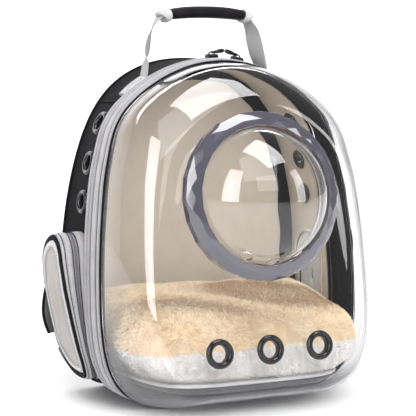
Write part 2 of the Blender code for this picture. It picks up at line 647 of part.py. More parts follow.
for sign, side_name in ((-1, "left"), (1, "right")):
    loops = [pocket_loop(sign, 0.0, 0.0, 0.0), pocket_loop(sign, 1.0, 0.0, 0.0),
             pocket_loop(sign, 1.0, 0.0, POCKET_WALL), pocket_loop(sign, 0.0, 0.0, POCKET_WALL)]
    verts, faces = strips(loops, True)
    make("pocket_%s_band" % side_name, verts, faces, "grey_band")
    loops = [pocket_loop(sign, 0.44, 0.0, -GAP), pocket_loop(sign, 0.44, 0.0, -0.0014),
             pocket_loop(sign, 0.56, 0.0, -0.0014), pocket_loop(sign, 0.56, 0.0, -GAP)]
    verts, faces = strips(loops, True)
    make("pocket_%s_zip" % side_name, verts, faces, "zip_coil")
    loops = [pocket_loop(sign, 1.0, GAP, 0.0), pocket_loop(sign, 1.0, 0.0024, 0.0004),
             pocket_loop(sign, 1.0, 0.0024, 0.0024), pocket_loop(sign, 1.0, GAP, 0.0026)]
    verts, faces = strips(loops, True)
    make("pocket_%s_piping" % side_name, verts, faces, "black_binding")
    loops = [pocket_loop(sign, 1.0, GAP, 0.0031), pocket_loop(sign, 1.0, 0.0018, 0.0031),
             pocket_loop(sign, 1.0, 0.0040, 0.0140)]
    verts, faces = strips(loops, False)
    faces.append(tuple(range(POCKET_POINTS)))
    faces.append(tuple(range(2 * POCKET_POINTS, 3 * POCKET_POINTS)))
    make("pocket_%s_panel" % side_name, verts, faces, "pocket_panel")


def ribbon(name, path, widths, thick, side_dirs, mat, crown=0.0):
    # flat strip along a path: each station has a width direction
    rows = []
    pts = [np.array(p, float) for p in path]
    for i, p in enumerate(pts):
        ahead_dir = pts[min(i + 1, len(pts) - 1)] - pts[max(i - 1, 0)]
        ahead_dir = ahead_dir / np.linalg.norm(ahead_dir)
        wide_dir = np.array(side_dirs[i], float)
        wide_dir = wide_dir - ahead_dir * np.dot(wide_dir, ahead_dir)
        wide_dir = wide_dir / np.linalg.norm(wide_dir)
        up_dir = np.cross(ahead_dir, wide_dir)
        w = wide_dir * widths[i] / 2
        u = up_dir * thick / 2
        if crown:
            rows.append([tuple(p - w), tuple(p - w * 0.72 - u), tuple(p + w * 0.72 - u), tuple(p + w),
                         tuple(p + w * 0.72 + u), tuple(p - w * 0.72 + u)])
        else:
            rows.append([tuple(p - w - u), tuple(p + w - u), tuple(p + w + u), tuple(p - w + u)])
    verts, faces = strips(rows, False)
    size = len(rows[0])
    faces.append(tuple(range(size)))
    faces.append(tuple(range((len(rows) - 1) * size, len(rows) * size)))
    return make(name, verts, faces, mat)


# Handle: webbing sewn to the arch at both ends, a foam grip and two keepers.
def arch_top(x, y):
    # height of the body wall's outer side above this x
    share = (y - FRAME_DEPTH) / (BODY_BACK - FRAME_DEPTH)
    line = OUTLINE * (BODY_SIDE, 1.0) * (1 - share) + BACK_OUTLINE * share
    upper = line[LOOP_POINTS // 4:LOOP_POINTS // 2 + 1]
    return float(np.interp(abs(x), upper[::-1, 0], upper[::-1, 1]))


lie = HANDLE_THICK / 2 + 0.0011
side_path = []
for x in (0.1000, 0.0920, 0.0840, 0.0760):
    rise = (arch_top(x - 0.002, HANDLE_Y + 0.014) - arch_top(x + 0.002, HANDLE_Y + 0.014)) / 0.004
    n = np.array([rise, 1.0]) / math.hypot(rise, 1.0)
    side_path.append((x + n[0] * lie, HANDLE_Y, arch_top(x, HANDLE_Y + 0.014) + n[1] * lie))
side_path += [(0.0735, HANDLE_Y, 0.3765), (0.0722, HANDLE_Y, 0.3860), (0.0700, HANDLE_Y, 0.4000),
              (0.0660, HANDLE_Y, 0.4130), (0.0600, HANDLE_Y, 0.4235), (0.0530, HANDLE_Y, 0.4290),
              (0.0400, HANDLE_Y, 0.4315), (0.0200, HANDLE_Y, 0.4332)]
path = side_path + [(0.0, HANDLE_Y, 0.4336)] + [(-x, y, z) for x, y, z in reversed(side_path)]
twist_z = [0.3700, 0.3765, 0.3860, 0.4000, 0.4130, 0.4235, 0.4290]
twist = [0.0, 5.0, 30.0, 38.0, 24.0, 8.0, 0.0]
directions = []
for p in path:
    a = math.radians(np.interp(p[2], twist_z, twist))
    directions.append((math.copysign(math.sin(a), -p[0]), math.cos(a), 0.0))
ribbon("handle_webbing", path, [HANDLE_WIDTH] * len(path), HANDLE_THICK, directions, "grey_webbing")


def sleeve(name, xs, zs, half_wide, half_high, mat):
    # tube of flattened section round the webbing, its ends open for it
    rows_out = []
    rows_in = []
    for k, (x, z) in enumerate(zip(xs, zs)):
        a = max(k - 1, 0)
        b = min(k + 1, len(xs) - 1)
        run_dir = np.array([xs[b] - xs[a], 0.0, zs[b] - zs[a]])
        run_dir = run_dir / np.linalg.norm(run_dir)
        up_dir = np.array([-run_dir[2], 0.0, run_dir[0]])
        out_row = []
        in_row = []
        for s in range(10):
            t = 2 * math.pi * s / 10
            sy = math.copysign(abs(math.cos(t)) ** 0.8, math.cos(t))
            su = math.copysign(abs(math.sin(t)) ** 0.8, math.sin(t))
            p = np.array([x, HANDLE_Y, z])
            out_row.append(tuple(p + np.array([0, 1.0, 0]) * half_wide[k] * sy + up_dir * half_high[k] * su))
            sy = math.copysign(abs(math.cos(t)) ** 0.25, math.cos(t))
            su = math.copysign(abs(math.sin(t)) ** 0.35, math.sin(t))
            in_row.append(tuple(p + np.array([0, 1.0, 0]) * 0.0140 * sy + up_dir * 0.0019 * su))
        rows_out.append(out_row)
        rows_in.append(in_row)
    verts, faces = strips(rows_out + rows_in[::-1], True)
    return make(name, verts, faces, mat)


def handle_z(x):
    return float(np.interp(abs(x), [0.0, 0.020, 0.040, 0.053, 0.060], [0.4336, 0.4332, 0.4315, 0.4290, 0.4235]))


xs = [-0.0455, -0.030, -0.015, 0.0, 0.015, 0.030, 0.0455]
sleeve("handle_grip", xs, [handle_z(x) for x in xs], [0.0162, 0.0170, 0.0172, 0.0172, 0.0172, 0.0170, 0.0162],
       [0.0056, 0.0064, 0.0066, 0.0066, 0.0066, 0.0064, 0.0056], "grip_foam")
for sign, side_name in ((-1, "left"), (1, "right")):
    xs = [sign * 0.0460, sign * 0.0505, sign * 0.0550]
    zs = [handle_z(x) for x in xs]
    sleeve("handle_keeper_%s" % side_name, xs, zs, [0.0168, 0.0172, 0.0164], [0.0062, 0.0068, 0.0060], "grey_webbing")

# Two zip sliders meeting at the top of the rear zip, each with a pull tab.
zip_y = seam_y(SEAM_HEIGHT) + band_depth(0.0336, SEAM_HEIGHT)
crest = sorted((x, z) for x, y, z in frame_loop(0.0390, 0.0042) if z > 0.33)
crest_x = [x for x, z in crest]
crest_z = [z for x, z in crest]


def on_band(x):
    return float(np.interp(x, crest_x, crest_z)) + GAP


for name, x, lean in (("left", 0.006, -1.0), ("right", 0.024, 1.0)):
    body_pts = [(x - 0.0062, -0.0036), (x + 0.0062, -0.0050), (x + 0.0062, 0.0050), (x - 0.0062, 0.0036)]
    if lean > 0:
        body_pts = [(x - 0.0062, -0.0050), (x + 0.0062, -0.0036), (x + 0.0062, 0.0036), (x - 0.0062, 0.0050)]
    rows = [[(px, zip_y + py, on_band(px)) for px, py in body_pts],
            [(px, zip_y + py, on_band(px) + 0.0032) for px, py in body_pts],
            [(x + (px - x) * 0.5, zip_y + py * 0.4, on_band(x) + 0.0050) for px, py in body_pts]]
    verts, faces = strips(rows, False)
    faces.append((0, 1, 2, 3))
    faces.append((8, 9, 10, 11))
    make("zip_slider_%s" % name, verts, faces, "dark_metal")
    base = on_band(x)
    ribbon("zip_pull_%s" % name,
           [(x, zip_y, base + 0.0061), (x + lean * 0.004, zip_y, base + 0.0074),
            (x + lean * 0.010, zip_y + 0.001, base + 0.0086), (x + lean * 0.017, zip_y + 0.002, base + 0.0090)],
           [0.0042, 0.0056, 0.0064, 0.0056], 0.0014, [(0.0, 1.0, 0.0)] * 4, "dark_metal")

# Shoulder straps on the back with the short webbing that ties them down to the lower corners.
strap_path = [(0.050, 0.1364, 0.352), (0.058, 0.1392, 0.330), (0.070, 0.1460, 0.295), (0.086, 0.1510, 0.250),
              (0.104, 0.1530, 0.200), (0.122, 0.1520, 0.155), (0.138, 0.1490, 0.118), (0.147, 0.1440, 0.088),
              (0.146, 0.1390, 0.066)]
widths = [0.046, 0.054, 0.058, 0.058, 0.056, 0.054, 0.052, 0.048, 0.040]
for sign, side_name in ((-1, "left"), (1, "right")):
    path = [(sign * x, y, z) for x, y, z in strap_path]
    ribbon("shoulder_strap_%s" % side_name, path, widths, STRAP_THICK, [(1.0, 0.0, 0.35 * sign)] * 9,
           "strap_fabric", 1.0)
    tail = [(sign * 0.1440, 0.1345, 0.0520), (sign * 0.1380, 0.1332, 0.0400), (sign * 0.1280, 0.1326, 0.0280),
            (sign * 0.1150, 0.1323, 0.0190)]
    ribbon("strap_webbing_%s" % side_name, tail, [0.025] * 4, 0.0018, [(1.0, 0.0, -1.0 * sign)] * 4,
           "grey_webbing")

for thing in bpy.data.objects:
    for poly in thing.data.polygons:
        poly.use_smooth = False
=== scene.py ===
import math

import bpy
import numpy as np
from mathutils import Matrix, Vector


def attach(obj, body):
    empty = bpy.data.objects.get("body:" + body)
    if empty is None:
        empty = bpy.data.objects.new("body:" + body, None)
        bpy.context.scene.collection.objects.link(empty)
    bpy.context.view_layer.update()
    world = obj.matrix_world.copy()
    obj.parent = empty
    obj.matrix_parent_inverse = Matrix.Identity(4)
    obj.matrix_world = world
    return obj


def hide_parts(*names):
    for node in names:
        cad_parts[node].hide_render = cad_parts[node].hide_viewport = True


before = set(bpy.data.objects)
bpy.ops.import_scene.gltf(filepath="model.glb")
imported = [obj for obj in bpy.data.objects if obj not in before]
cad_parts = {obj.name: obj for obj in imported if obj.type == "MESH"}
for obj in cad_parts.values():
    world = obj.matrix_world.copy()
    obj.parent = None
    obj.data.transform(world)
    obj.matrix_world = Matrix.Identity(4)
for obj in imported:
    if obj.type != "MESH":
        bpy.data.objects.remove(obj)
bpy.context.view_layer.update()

# Studio: a white table that sweeps up far behind the carrier, and a dim room around it.  Five softboxes
# light the cloth, and three more only show as pictures on the clear shell and the bubble.  The camera
# stands where the photographer stood.

SHEET_DROP = 0.0006       # the table lies this far under the carrier
ROOM_STRENGTH = 0.95      # light of the room on the cloth
ROOM_GLOSS_LOSS = 0.62    # how much darker the room is where something shiny shows it


def alone():
    if bpy.context.object and bpy.context.object.mode != "OBJECT":
        bpy.ops.object.mode_set(mode="OBJECT")
    bpy.ops.object.select_all(action="DESELECT")


def only(thing):
    alone()
    thing.select_set(True)
    bpy.context.view_layer.objects.active = thing


def settle(thing):
    # the place goes into the mesh, so the object itself sits at the origin
    only(thing)
    bpy.ops.object.transform_apply(location=True, rotation=True, scale=True)


def new_material(name):
    mat = bpy.data.materials.new(name)
    mat.use_nodes = True
    return mat, mat.node_tree, mat.node_tree.nodes["Principled BSDF"]


def plain(name, colour, rough):
    mat, _, shader = new_material(name)
    shader.inputs["Base Color"].default_value = colour
    shader.inputs["Roughness"].default_value = rough
    return mat


alone()
bpy.ops.mesh.primitive_plane_add(size=1.0, location=(0.0, 0.0, -SHEET_DROP))
sweep = bpy.context.object
sweep.name = "table_sweep"
sweep.scale = (16.0, 10.0, 1.0)
settle(sweep)
bpy.ops.object.mode_set(mode="EDIT")
bpy.ops.mesh.select_all(action="DESELECT")
bpy.ops.object.mode_set(mode="OBJECT")
for edge in sweep.data.edges:
    edge.select = all(sweep.data.vertices[v].co.y > 4.0 for v in edge.vertices)
bpy.ops.object.mode_set(mode="EDIT")
bpy.ops.mesh.extrude_region_move(TRANSFORM_OT_translate={"value": (0.0, 0.6, 5.0)})
bpy.ops.object.mode_set(mode="OBJECT")
sweep.data.materials.append(plain("white_sweep", (0.86, 0.86, 0.86, 1.0), 0.6))

world = bpy.data.worlds.new("studio")
bpy.context.scene.world = world
world.use_nodes = True
tree = world.node_tree
room = tree.nodes["Background"]
room.inputs["Color"].default_value = (0.80, 0.80, 0.82, 1.0)
path = tree.nodes.new("ShaderNodeLightPath")
dim = tree.nodes.new("ShaderNodeMath")
dim.operation = "MULTIPLY_ADD"
dim.inputs[1].default_value, dim.inputs[2].default_value = -ROOM_GLOSS_LOSS, ROOM_STRENGTH
tree.links.new(path.outputs["Is Glossy Ray"], dim.inputs[0])
tree.links.new(dim.outputs[0], room.inputs["Strength"])

SOFTBOXES = [
    # name, place, what it faces, width, height, watts, whether it only shows as a picture in what shines
    ("top_box", (-0.5, -1.7, 2.6), (0.0, 0.0, 0.2), 2.8, 2.4, 80.0, False),
    ("front_fill", (-0.2, -2.2, 1.3), (0.0, 0.0, 0.1), 1.4, 1.0, 16.0, False),
    ("left_box", (-2.6, -1.2, 0.9), (0.0, 0.0, 0.2), 0.5, 1.6, 9.0, False),
    ("right_box", (2.4, -1.8, 1.0), (0.0, 0.0, 0.2), 0.6, 1.5, 8.0, False),
    ("sweep_light", (0.0, 3.0, 3.6), (0.0, 5.2, 0.6), 6.0, 2.0, 260.0, False),
    ("roof_picture", (0.25, -0.55, 2.35), (-0.05, 0.05, 0.30), 1.25, 1.90, 50.0, True),
    ("left_picture", (-1.80, -0.90, 1.20), (0.0, 0.0, 1.18), 1.00, 2.10, 40.0, True),
    ("right_picture", (1.68, -1.45, 0.95), (0.0, 0.0, 0.94), 0.60, 1.75, 14.0, True)]
for name, place, target, wide, high, watts, picture in SOFTBOXES:
    lamp = bpy.data.lights.new(name, "AREA")
    lamp.shape = "RECTANGLE"
    lamp.size, lamp.size_y = wide, high
    lamp.energy = watts
    holder = bpy.data.objects.new(name, lamp)
    bpy.context.collection.objects.link(holder)
    holder.location = place
    holder.rotation_mode = "QUATERNION"
    holder.rotation_quaternion = (Vector(target) - Vector(place)).to_track_quat("-Z", "Y")
    if picture:
        holder.visible_diffuse = False
    else:
        holder.visible_glossy = name == "sweep_light"

CAMERA_PLACE = (-0.77331, -1.56482, 0.39559)
CAMERA_TURN = -26.448      # degrees round the object from the front
CAMERA_TILT = 5.82         # degrees looking down
CAMERA_ROLL = 0.15         # degrees
CAMERA_LENS = 135.76       # millimetres, on a 36 mm wide sensor
CENTRE_OFF = (-0.014163, -0.001453)   # the picture's middle from the line of sight, right and up
turn, tilt = math.radians(CAMERA_TURN), math.radians(CAMERA_TILT)
sight = -Vector((math.sin(turn) * math.cos(tilt), -math.cos(turn) * math.cos(tilt), math.sin(tilt)))
side = sight.cross(Vector((0.0, 0.0, 1.0))).normalized()
over = side.cross(sight)
sight = (sight + side * CENTRE_OFF[0] + over * CENTRE_OFF[1]).normalized()
side = sight.cross(Vector((0.0, 0.0, 1.0))).normalized()
over = side.cross(sight)
lens = bpy.data.cameras.new("camera")
lens.lens, lens.sensor_width = CAMERA_LENS, 36.0
lens.clip_start, lens.clip_end = 0.05, 60.0
camera = bpy.data.objects.new("camera", lens)
bpy.context.collection.objects.link(camera)
camera.matrix_world = (Matrix.Translation(CAMERA_PLACE) @ Matrix((side, over, -sight)).transposed().to_4x4()
                       @ Matrix.Rotation(math.radians(CAMERA_ROLL), 4, "Z"))
bpy.context.scene.camera = camera
bpy.context.scene.view_settings.view_transform = "Standard"
cycles = bpy.context.scene.cycles
cycles.max_bounces, cycles.transmission_bounces, cycles.transparent_max_bounces = 14, 12, 16

# Frame: eight bands sewn one behind the other round the arch-shaped opening.  They are grey polyester
# webbing over a wire rim, with black piping and zips between them and stitching along the wider ones.

SEAM_HALF = [
    # half width and height along the seam between shell and frame, from the bottom up
    (0.0, 0.0), (0.040, 0.0), (0.080, 0.0), (0.100, 0.0035), (0.116, 0.0095), (0.130, 0.0185),
    (0.1412, 0.032), (0.1495, 0.050), (0.1540, 0.070), (0.1562, 0.092), (0.1568, 0.115), (0.1562, 0.150),
    (0.1542, 0.185), (0.1510, 0.217), (0.1470, 0.249), (0.1415, 0.275), (0.1345, 0.300), (0.1268, 0.3155),
    (0.1166, 0.3285), (0.0992, 0.3434), (0.0802, 0.3556), (0.0620, 0.3645), (0.0420, 0.3718),
    (0.0210, 0.3762), (0.0, 0.3778)]
SEAM_HEIGHT = 0.3778
SEAM_HALF_WIDTH = 0.1568
SEAM_MIDDLE = 0.2045      # height from which the lean is counted
SEAM_LEAN = 0.092         # metres back for each metre up
SEAM_BOW = 0.0051         # further back at 0.2 m from the middle
FRAME_DEPTH = 0.043       # front to rear, at the foot
FRAME_TOP_SHARE = 0.80    # how much of the depth is left at the top
ORIGIN_Y = 0.0103         # from the zero of the outlines to the middle of the whole carrier
GAP = 0.0004              # left between pieces that touch
ARCH = 240                # points around the arch
ZIP_STEP = 0.0016         # from tooth to tooth
STITCH_STEP = 0.0034      # from stitch to stitch
WEAVE_DEPTH = 0.0004      # relief of the threads


def smooth_run(points, count, closed=False):
    # a smooth line through the points, in even steps
    pts = [np.array(p, float) for p in points]
    total = len(pts)
    dense = []
    for i in range(total if closed else total - 1):
        p0, p1, p2, p3 = (pts[(i + k - 1) % total] if closed else pts[min(max(i + k - 1, 0), total - 1)]
                          for k in range(4))
        for t in np.arange(16) / 16.0:
            dense.append(0.5 * (2 * p1 + (p2 - p0) * t + (2 * p0 - 5 * p1 + 4 * p2 - p3) * t * t
                                + (3 * p1 - p0 - 3 * p2 + p3) * t ** 3))
    dense.append(pts[0] if closed else pts[-1])
    dense = np.array(dense)
    run = np.concatenate([[0], np.cumsum(np.linalg.norm(np.diff(dense, axis=0), axis=1))])
    wanted = np.linspace(0, run[-1], count + 1)[:-1] if closed else np.linspace(0, run[-1], count)
    return np.stack([np.interp(wanted, run, dense[:, k]) for k in range(dense.shape[1])], -1)


outline = smooth_run(SEAM_HALF + [(-x, z) for x, z in reversed(SEAM_HALF[1:-1])], ARCH, True)
outline[:, 1] = np.maximum(outline[:, 1], 0.0)
ahead = np.roll(outline, -1, axis=0) - np.roll(outline, 1, axis=0)
ahead /= np.linalg.norm(ahead, axis=1)[:, None]
outward = np.stack([ahead[:, 1], -ahead[:, 0]], -1)
out_way = np.stack([outward[:, 0], np.zeros(ARCH), outward[:, 1]], -1)
lift = np.clip(outline[:, 1] / 0.030, 0.0, 1.0)
lift = lift * lift * (3 - 2 * lift)


def seam_y(z):
    # the seam leans back and bows a little
    return SEAM_LEAN * (z - SEAM_MIDDLE) + SEAM_BOW * ((z - SEAM_MIDDLE) / 0.2) ** 2 - ORIGIN_Y


def band_depth(depth, z):
    # the frame is shallower towards its top
    t = np.clip((z - 0.20) / 0.16, 0.0, 1.0)
    return depth * (1.0 - (1.0 - FRAME_TOP_SHARE) * t * t * (3 - 2 * t))


def frame_loop(depth, offset):
    # loop round the frame at a depth behind the seam, moved out by the offset
    out = offset * lift if offset > 0 else np.full(ARCH, offset)
    x, z = outline[:, 0], outline[:, 1]
    return np.stack([x + outward[:, 0] * out, seam_y(z) + band_depth(depth, z),
                     np.maximum(z + outward[:, 1] * out, 0.0)], -1)


def outward_sum(piece):
    # above 0 where the faces of an open tube mostly point away from its middle
    bpy.ops.object.mode_set(mode="OBJECT")
    middle = np.mean([v.co for v in piece.data.vertices], axis=0)
    total = sum(float(np.dot(p.normal, np.array(p.center) - middle)) * p.area for p in piece.data.polygons)
    bpy.ops.object.mode_set(mode="EDIT")
    return total


def skin(name, rows, ring_u=False, ring_v=False, caps=False):
    # a grid pulled onto rows of points, with a UV map in metres: u along a row, v from row to row
    pts = np.array(rows, float)
    if ring_u:
        pts = np.concatenate([pts, pts[:, :1]], 1)
    if ring_v:
        pts = np.concatenate([pts, pts[:1]], 0)
    nv, nu = pts.shape[:2]
    alone()
    bpy.ops.mesh.primitive_grid_add(x_subdivisions=nu - 1, y_subdivisions=nv - 1)
    made = bpy.context.object
    made.name = made.data.name = name
    made.data.vertices.foreach_set("co", pts.reshape(-1))
    steps = np.linalg.norm(np.diff(pts, axis=1), axis=2).mean(axis=0)
    u = np.concatenate([[0], np.cumsum(steps)])
    steps = np.linalg.norm(np.diff(pts, axis=0), axis=2).mean(axis=1)
    v = np.concatenate([[0], np.cumsum(steps)])
    corner = np.empty(len(made.data.loops), int)
    made.data.loops.foreach_get("vertex_index", corner)
    made.data.uv_layers[0].data.foreach_set("uv", np.stack([u[corner % nu], v[corner // nu]], -1).reshape(-1))
    bpy.ops.object.mode_set(mode="EDIT")
    bpy.ops.mesh.select_all(action="SELECT")
    bpy.ops.mesh.remove_doubles(threshold=1e-6)
    if caps:
        bpy.ops.mesh.fill_holes(sides=0)
    bpy.ops.mesh.select_all(action="SELECT")
    if caps or (ring_u and ring_v):
        bpy.ops.mesh.normals_make_consistent(inside=False)
    elif outward_sum(made) < 0:
        bpy.ops.mesh.flip_normals()
    bpy.ops.mesh.faces_shade_smooth()
    bpy.ops.object.mode_set(mode="OBJECT")
    return made


def modify(piece, kind, **settings):
    only(piece)
    mod = piece.modifiers.new(kind.lower(), kind)
    for key, value in settings.items():
        setattr(mod, key, value)
    bpy.ops.object.modifier_apply(modifier=mod.name)


def dress(piece, mat, slot, *nodes):
    # material, ride and the solids that the piece stands for, which are hidden; the slot is not used
    piece.data.materials.clear()
    piece.data.materials.append(mat)
    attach(piece, "root")
    if nodes:
        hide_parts(*nodes)
    return piece


def new_group(name, inputs, outputs):
    group = bpy.data.node_groups.new(name, "ShaderNodeTree")
    for label, kind, value in inputs:
        socket = group.interface.new_socket(label, in_out="INPUT", socket_type=kind)
        if value is not None:
            socket.default_value = value
    for label, kind in outputs:
        group.interface.new_socket(label, in_out="OUTPUT", socket_type=kind)
    entry = group.nodes.new("NodeGroupInput")
    leave = group.nodes.new("NodeGroupOutput")
    return group, entry, leave


def sums(tree, operation, first, second=None, third=None, clamp=False):
    node = tree.nodes.new("ShaderNodeMath")
    node.operation = operation
    node.use_clamp = clamp
    for socket, value in zip(node.inputs, (first, second, third)):
        if isinstance(value, bpy.types.NodeSocket):
            tree.links.new(value, socket)
        elif value is not None:
            socket.default_value = value
    return node.outputs[0]


def blended(tree, factor, first, second, kind="MIX"):
    # colour mix of two colours or sockets
    node = tree.nodes.new("ShaderNodeMix")
    node.data_type = "RGBA"
    node.blend_type = kind
    for socket, value in ((node.inputs[0], factor), (node.inputs[6], first), (node.inputs[7], second)):
        if isinstance(value, bpy.types.NodeSocket):
            tree.links.new(value, socket)
        else:
            socket.default_value = value if isinstance(value, float) else (*value, 1.0)
    return node.outputs[2]


# Plain weave: threads per metre both ways, over and under each other in turn.
weave, entry, leave = new_group("plain weave", [("Vector", "NodeSocketVector", None),
                                                ("Threads", "NodeSocketFloat", 800.0)],
                                [("Height", "NodeSocketFloat"), ("Gap", "NodeSocketFloat")])
split = weave.nodes.new("ShaderNodeSeparateXYZ")
weave.links.new(entry.outputs["Vector"], split.inputs[0])
counted = [sums(weave, "MULTIPLY", split.outputs[k], entry.outputs["Threads"]) for k in range(2)]
warp, weft = (sums(weave, "SINE", sums(weave, "MULTIPLY", count, math.pi)) for count in counted)
warp_over = sums(weave, "GREATER_THAN", sums(weave, "MULTIPLY", warp, weft), 0.0)
height = sums(weave, "ADD", sums(weave, "MULTIPLY", warp_over, sums(weave, "ABSOLUTE", warp)),
              sums(weave, "MULTIPLY", sums(weave, "SUBTRACT", 1.0, warp_over), sums(weave, "ABSOLUTE", weft)))
weave.links.new(height, leave.inputs["Height"])
weave.links.new(sums(weave, "POWER", sums(weave, "SUBTRACT", 1.0, height), 3.0), leave.inputs["Gap"])

# Cloth shade: slow and quick unevenness of dyed cloth, from 0 to 1.
shade, entry, leave = new_group("cloth shade", [("Vector", "NodeSocketVector", None),
                                                ("Size", "NodeSocketFloat", 60.0)],
                                [("Shade", "NodeSocketFloat"), ("Fibre", "NodeSocketFloat")])
slow = shade.nodes.new("ShaderNodeTexNoise")
slow.inputs["Detail"].default_value = 3.0
quick = shade.nodes.new("ShaderNodeTexNoise")
quick.inputs["Detail"].default_value = 2.0
shade.links.new(entry.outputs["Vector"], slow.inputs["Vector"])
shade.links.new(entry.outputs["Vector"], quick.inputs["Vector"])
shade.links.new(entry.outputs["Size"], slow.inputs["Scale"])
shade.links.new(sums(shade, "MULTIPLY", entry.outputs["Size"], 18.0), quick.inputs["Scale"])
shade.links.new(slow.outputs["Fac"], leave.inputs["Shade"])
shade.links.new(quick.outputs["Fac"], leave.inputs["Fibre"])


def unevenness(tree, size):
    # the cloth shade at the object's own coordinates
    uneven = tree.nodes.new("ShaderNodeGroup")
    uneven.node_tree = shade
    uneven.inputs["Size"].default_value = size
    where = tree.nodes.new("ShaderNodeTexCoord")
    tree.links.new(where.outputs["Object"], uneven.inputs["Vector"])
    return uneven


def relieved(tree, shader, height, strength, distance, invert=False):
    bump = tree.nodes.new("ShaderNodeBump")
    bump.inputs["Strength"].default_value = strength
    bump.inputs["Distance"].default_value = distance
    bump.invert = invert
    tree.links.new(height, bump.inputs["Height"])
    tree.links.new(bump.outputs["Normal"], shader.inputs["Normal"])


def cloth(name, pale, dark, threads, rough, relief, sheen=0.25, fibre=0.5, shine=0.2):
    # woven cloth: the weave follows the piece's UV map, the unevenness sits in the object
    mat, tree, shader = new_material(name)
    where = tree.nodes.new("ShaderNodeTexCoord")
    woven = tree.nodes.new("ShaderNodeGroup")
    woven.node_tree = weave
    woven.inputs["Threads"].default_value = threads
    tree.links.new(where.outputs["UV"], woven.inputs["Vector"])
    uneven = unevenness(tree, 60.0)
    mixed = sums(tree, "MULTIPLY_ADD", uneven.outputs["Fibre"], fibre,
                 sums(tree, "MULTIPLY", uneven.outputs["Shade"], 1.0 - fibre))
    body = blended(tree, sums(tree, "MULTIPLY_ADD", mixed, 2.4, -0.7), dark, pale)
    # painted shade: the gaps between the threads are darkened towards a third of the dark tone
    deep = tuple(0.35 * c for c in dark)
    tree.links.new(blended(tree, sums(tree, "MULTIPLY", woven.outputs["Gap"], 0.8), body, deep),
                   shader.inputs["Base Color"])
    tree.links.new(sums(tree, "MULTIPLY_ADD", woven.outputs["Gap"], 0.15, rough), shader.inputs["Roughness"])
    height = sums(tree, "MULTIPLY_ADD", uneven.outputs["Fibre"], 0.35, woven.outputs["Height"])
    relieved(tree, shader, height, relief, WEAVE_DEPTH)
    shader.inputs["Sheen Weight"].default_value = sheen
    shader.inputs["Sheen Roughness"].default_value = 0.45
    shader.inputs["Specular IOR Level"].default_value = shine
    return mat


def along(curve_pts, spacing):
    # even places on a closed line of points, with the direction of travel at each
    loop = np.concatenate([curve_pts, curve_pts[:1]])
    run = np.concatenate([[0], np.cumsum(np.linalg.norm(np.diff(loop, axis=0), axis=1))])
    number = max(int(run[-1] / spacing), 1)
    at = (np.arange(number) + 0.5) * run[-1] / number
    place = np.stack([np.interp(at, run, loop[:, k]) for k in range(3)], -1)
    fore = np.stack([np.interp(at + spacing * 0.5, run, loop[:, k]) for k in range(3)], -1)
    aft = np.stack([np.interp(at - spacing * 0.5, run, loop[:, k]) for k in range(3)], -1)
    way = fore - aft
    return place, way / np.linalg.norm(way, axis=1)[:, None]


def repeated(name, seed, places, ways, ups):
    # copies of one modelled piece, its X along each way and its Z along each up, in one mesh
    base = np.array([v.co for v in seed.data.vertices])
    faces = [tuple(p.vertices) for p in seed.data.polygons]
    bpy.data.objects.remove(seed, do_unlink=True)
    ups = ups - ways * (ups * ways).sum(axis=1)[:, None]
    ups /= np.linalg.norm(ups, axis=1)[:, None]
    across = np.cross(ups, ways)
    verts = (places[:, None] + base[None, :, :1] * ways[:, None] + base[None, :, 1:2] * across[:, None]
             + base[None, :, 2:] * ups[:, None]).reshape(-1, 3)
    mesh = bpy.data.meshes.new(name)
    mesh.from_pydata([tuple(v) for v in verts], [],
                     [tuple(i + k * len(base) for i in f) for k in range(len(places)) for f in faces])
    mesh.shade_smooth()
    made = bpy.data.objects.new(name, mesh)
    bpy.context.collection.objects.link(made)
    return made


def frame_row(middle, offset, spacing):
    # even places along the frame, with the way along it and the way out at each
    places, ways = along(frame_loop(middle, offset), spacing)
    return places, ways, np.stack([ways[:, 2], np.zeros(len(ways)), -ways[:, 0]], -1)


def tooth_seed(wide):
    # one tooth of a zip, to be repeated
    alone()
    bpy.ops.mesh.primitive_cube_add(size=1.0)
    tooth = bpy.context.object
    tooth.scale = (0.0010, wide, 0.0008)
    settle(tooth)
    modify(tooth, "BEVEL", width=0.0002, segments=1)
    return tooth


def stitch_seed(length, thick):
    # one stitch, to be repeated
    alone()
    bpy.ops.mesh.primitive_uv_sphere_add(segments=6, ring_count=4, radius=0.5)
    seed = bpy.context.object
    seed.scale = (length, thick, thick * 0.8)
    settle(seed)
    return seed


grey_band = cloth("grey_band_webbing", (0.50, 0.49, 0.505), (0.35, 0.345, 0.36), 1100.0, 0.6, 0.5, 0.15)
black_band = cloth("black_binding_tape", (0.010, 0.0095, 0.011), (0.005, 0.005, 0.006), 1100.0, 0.6, 0.4,
                   0.0, 0.5, 0.06)
zip_cloth = cloth("zip_tape", (0.030, 0.029, 0.034), (0.014, 0.014, 0.016), 1200.0, 0.5, 0.4, 0.2)
thread = plain("grey_thread", (0.16, 0.15, 0.17, 1.0), 0.5)

BANDS = [
    # node, front and rear edge behind the seam, inner and outer offset, crown, material, slot
    ("shell_binding", 0.0, 0.0030, -0.0016, 0.0016, 0.0004, black_band, "black_binding"),
    ("frame_front_band", 0.0036, 0.0106, -0.0030, 0.0020, 0.0010, grey_band, "grey_band"),
    ("frame_front_piping", 0.0109, 0.0141, -0.0030, 0.0012, 0.0003, black_band, "black_binding"),
    ("frame_wide_band", 0.0144, 0.0248, -0.0030, 0.0028, 0.0017, grey_band, "grey_band"),
    ("zip_middle", 0.0258, 0.0280, -0.0030, 0.0014, 0.0, zip_cloth, "zip_coil"),
    ("frame_thin_band", 0.0290, 0.0318, -0.0030, 0.0032, 0.0010, grey_band, "grey_band"),
    ("zip_rear", 0.0326, 0.0346, -0.0030, 0.0016, 0.0, zip_cloth, "zip_coil"),
    ("frame_rear_band", 0.0356, 0.0430, -0.0030, 0.0034, 0.0012, grey_band, "grey_band")]
